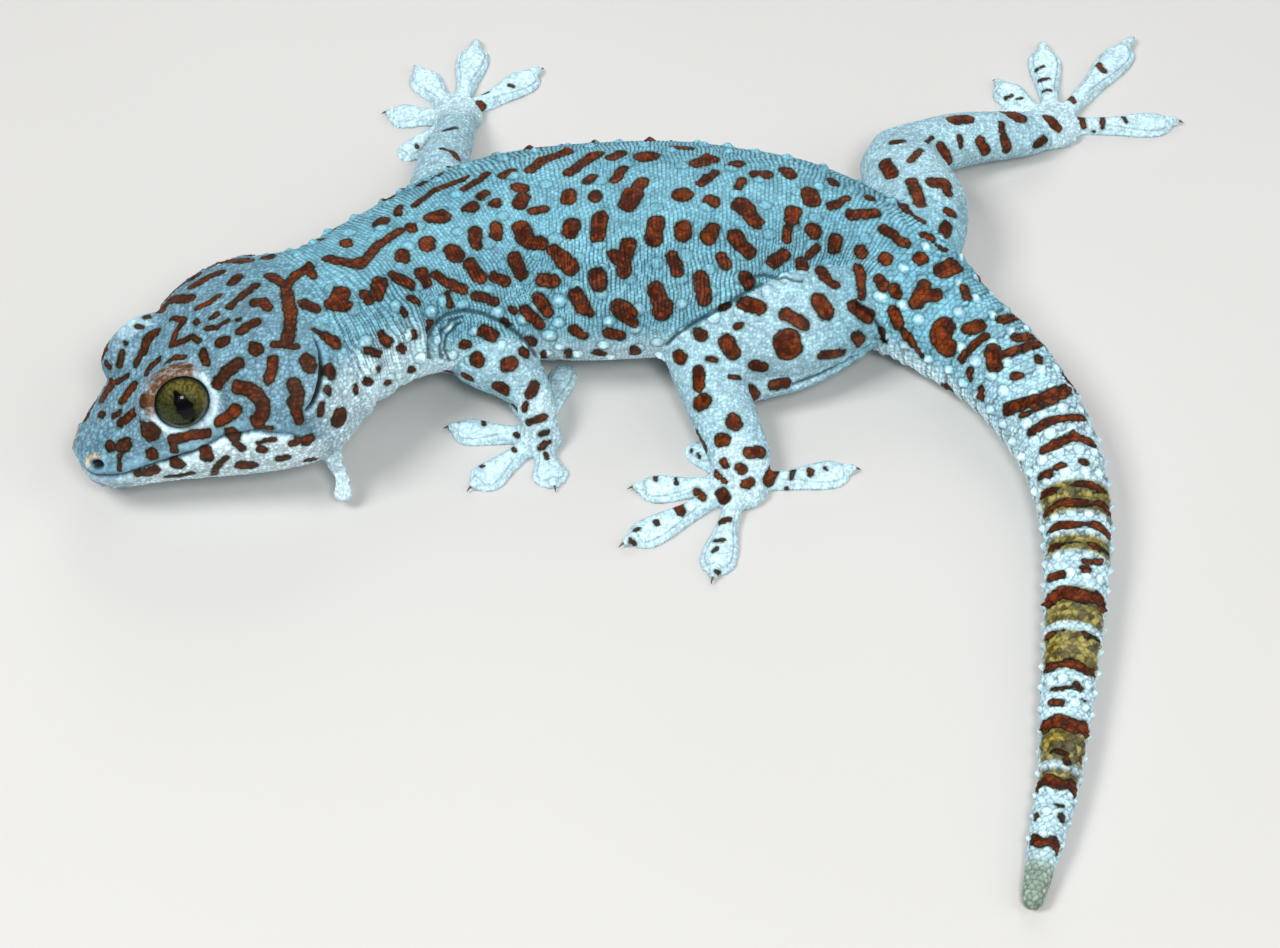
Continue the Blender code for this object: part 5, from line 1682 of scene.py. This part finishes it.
def piece(name, places, faces, material, fields):
    """A smooth mesh object with its material and its fields of one or three numbers a place."""
    mesh = bpy.data.meshes.new(name)
    mesh.from_pydata([tuple(place * MM) for place in places], [], faces)
    mesh.shade_smooth()
    for field, values in fields.items():
        values = np.asarray(values, np.float32)
        if values.ndim == 2:
            mesh.attributes.new(field, "FLOAT_VECTOR", "POINT").data.foreach_set("vector", values.ravel())
        else:
            mesh.attributes.new(field, "FLOAT", "POINT").data.foreach_set("value", values)
    mesh.materials.append(material)
    item = bpy.data.objects.new(name, mesh)
    scene.collection.objects.link(item)
    return item


def grid_faces(rows, sides, base=0):
    """Faces between rings of the same number of sides."""
    return [
        (base + row * sides + k, base + row * sides + (k + 1) % sides,
         base + (row + 1) * sides + (k + 1) % sides, base + (row + 1) * sides + k)
        for row in range(rows - 1)
        for k in range(sides)
    ]


def eyeball(name, centre, look, material):
    """A sphere whose front carries the iris and its pupil, and which closes behind."""
    up = unit(HEAD_UP - look * (HEAD_UP @ look))
    right = np.cross(up, look)
    front = np.linspace(0.004, 1.2, EYE_FRONT_RINGS)
    tilts = np.concatenate([front, np.linspace(1.25, math.pi - 0.05, EYE_BACK_RINGS)])
    turns = np.linspace(0.0, 2 * math.pi, EYE_SIDES, endpoint=False)
    tilt, turn = (grid.ravel() for grid in np.meshgrid(tilts, turns, indexing="ij"))
    bulge = EYE_RADIUS + CORNEA_BULGE * soft_step(tilt, 1.0, 0.2)
    across = np.sin(tilt) * np.cos(turn)
    rise = np.sin(tilt) * np.sin(turn)
    local = np.stack([across, rise, np.cos(tilt)], 1) * bulge[:, None]
    places = centre + local @ np.array((right, up, look))
    faces = [face[::-1] for face in grid_faces(len(tilts), EYE_SIDES)]
    last = len(places) - EYE_SIDES
    faces.append(tuple(range(EYE_SIDES)))
    faces.append(tuple(range(last, last + EYE_SIDES))[::-1])
    back = math.copysign(1.0, HEAD_BACK @ right)
    lean = -math.radians(PUPIL_LEAN) * back
    x = local[:, 0] * math.cos(lean) - local[:, 1] * math.sin(lean)
    y = local[:, 0] * math.sin(lean) + local[:, 1] * math.cos(lean)
    share = y / PUPIL_HALF_LENGTH
    width = PUPIL_HALF_WIDTH * np.maximum(1.0 - share ** 2, -0.3)
    width = width * (1.0 + PUPIL_TEETH * np.cos(share * math.pi * 4.0))
    radius = np.hypot(local[:, 0], local[:, 1])
    fields = {
        "pupil": np.where(local[:, 2] > 0, width - np.abs(x), -2.0),
        "rim": soft_step(radius, EYE_OPENING - 0.75, EYE_OPENING - 0.1),
        "glow": soft_step(radius, 1.0, 3.6) * soft_step(local[:, 1] + back * local[:, 0], -1.5, 3.5),
        "rays": np.stack([np.cos(turn) * 3.4, np.sin(turn) * 3.4, radius * 0.5], 1),
    }
    return piece(name, places, faces, material, fields)


def claws(material):
    """A curved horn on each toe but the small ones, all as one piece."""
    places, faces, along = [], [], []
    shares = np.linspace(0.0, 1.0, CLAW_RINGS)
    turns = np.linspace(0.0, 2 * math.pi, CLAW_SIDES, endpoint=False)
    for sizes in LEGS.values():
        for angle, length, small in sizes["toes"]:
            if small:
                continue
            way = np.array((*heading(angle), 0.0))
            side = np.array((-way[1], way[0], 0.0))
            root = np.array((*sizes["palm"][:2], CLAW_HEIGHT)) + way * (length + CLAW_START)
            base = len(places)
            for share in shares:
                radius = CLAW_RADIUS * (1.0 - share) ** 0.7
                drop = CLAW_ARCH * math.sin(math.pi * share) - CLAW_DROP * share
                middle = root + way * CLAW_LENGTH * share + UP * drop
                for turn in turns:
                    flat = side * math.cos(turn) * 0.75 * radius + UP * math.sin(turn) * radius
                    places.append(middle + flat)
                    along.append(share)
            faces += grid_faces(CLAW_RINGS, CLAW_SIDES, base)
            faces.append(tuple(range(base, base + CLAW_SIDES))[::-1])
            last = base + (CLAW_RINGS - 1) * CLAW_SIDES
            faces.append(tuple(range(last, last + CLAW_SIDES)))
    return piece("claws", np.array(places), faces, material, {"along": along})


def floor():
    corners = np.array([(x, y, 0.0) for x, y in ((-1, -1), (1, -1), (1, 1), (-1, 1))]) * FLOOR_HALF_WIDTH
    item = piece("floor", corners, [(0, 1, 2, 3)], floor_material(), {})


def camera():
    """The photograph's view: from the animal's left side, well above it."""
    lens = bpy.data.cameras.new("camera")
    lens.lens = CAMERA_LENS
    lens.sensor_width = SENSOR_WIDTH
    item = bpy.data.objects.new("camera", lens)
    item.location = Vector(CAMERA_PLACE * MM)
    item.rotation_euler = Vector(CAMERA_BACK).to_track_quat("Z", "Y").to_euler()
    scene.collection.objects.link(item)
    scene.camera = item


def area_light(name, place, size, power, glints):
    """A soft square light, turned to the animal."""
    lamp = bpy.data.lights.new(name, "AREA")
    lamp.size = size
    lamp.energy = power
    item = bpy.data.objects.new(name, lamp)
    item.location = Vector(place)
    item.rotation_euler = Vector(place).to_track_quat("Z", "Y").to_euler()
    item.visible_glossy = glints
    scene.collection.objects.link(item)


def lights():
    for lamp in LAMPS:
        area_light(*lamp)
    world = bpy.data.worlds.new("studio")
    world.use_nodes = True
    background = world.node_tree.nodes["Background"]
    background.inputs["Color"].default_value = WORLD_COLOUR
    background.inputs["Strength"].default_value = WORLD_STRENGTH
    scene.world = world
    scene.view_settings.view_transform = "Standard"


def colour_skin(skin, item):
    """Every mark, seen or guessed, and how pale each place is."""
    for enlargement in SEEN_MARKS:
        draw_seen(skin, item, *enlargement)
    draw_mirrored(skin, item, *HEAD_MARKS)
    spot_body(skin)
    spot_limbs(skin)
    band_tail(skin)
    pale_fields(skin)


def shape_skin(skin, item):
    """The openings, folds, tubercles, whorls, toe pads and scales."""
    part_lips(skin)
    open_nostrils(skin)
    open_ears(skin, item)
    fold_limb_roots(skin, item)
    add_tubercles(skin, *BODY_TUBERCLES)
    add_tubercles(skin, *HEAD_TUBERCLES)
    add_whorls(skin)
    fold_neck(skin)
    shape_toes(skin)
    cover_with_scales(skin)


def build_skin():
    mesh = base_skin()
    hide = bpy.data.objects.new("skin", mesh)
    scene.collection.objects.link(hide)
    bpy.context.view_layer.update()
    skin = Skin(mesh)
    open_eyes(skin)
    colour_skin(skin, hide)
    shape_skin(skin, hide)
    stored(skin)
    mesh.materials.append(skin_material())
    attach(hide, "root")
    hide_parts(*[node for node in frame["nodes"] if not node.startswith("eye_")])


def build_eyes():
    wet = eye_material()
    for side, (centre, look) in zip(("left", "right"), EYES):
        globe = eyeball("globe_" + side, centre, look, wet)
        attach(globe, "root")
        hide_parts("eye_" + side)


def build_claws():
    horn = claws(claw_material())
    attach(horn, "root")


def main():
    camera()
    lights()
    floor()
    random.seed(SEED)
    build_skin()
    build_eyes()
    build_claws()


main()
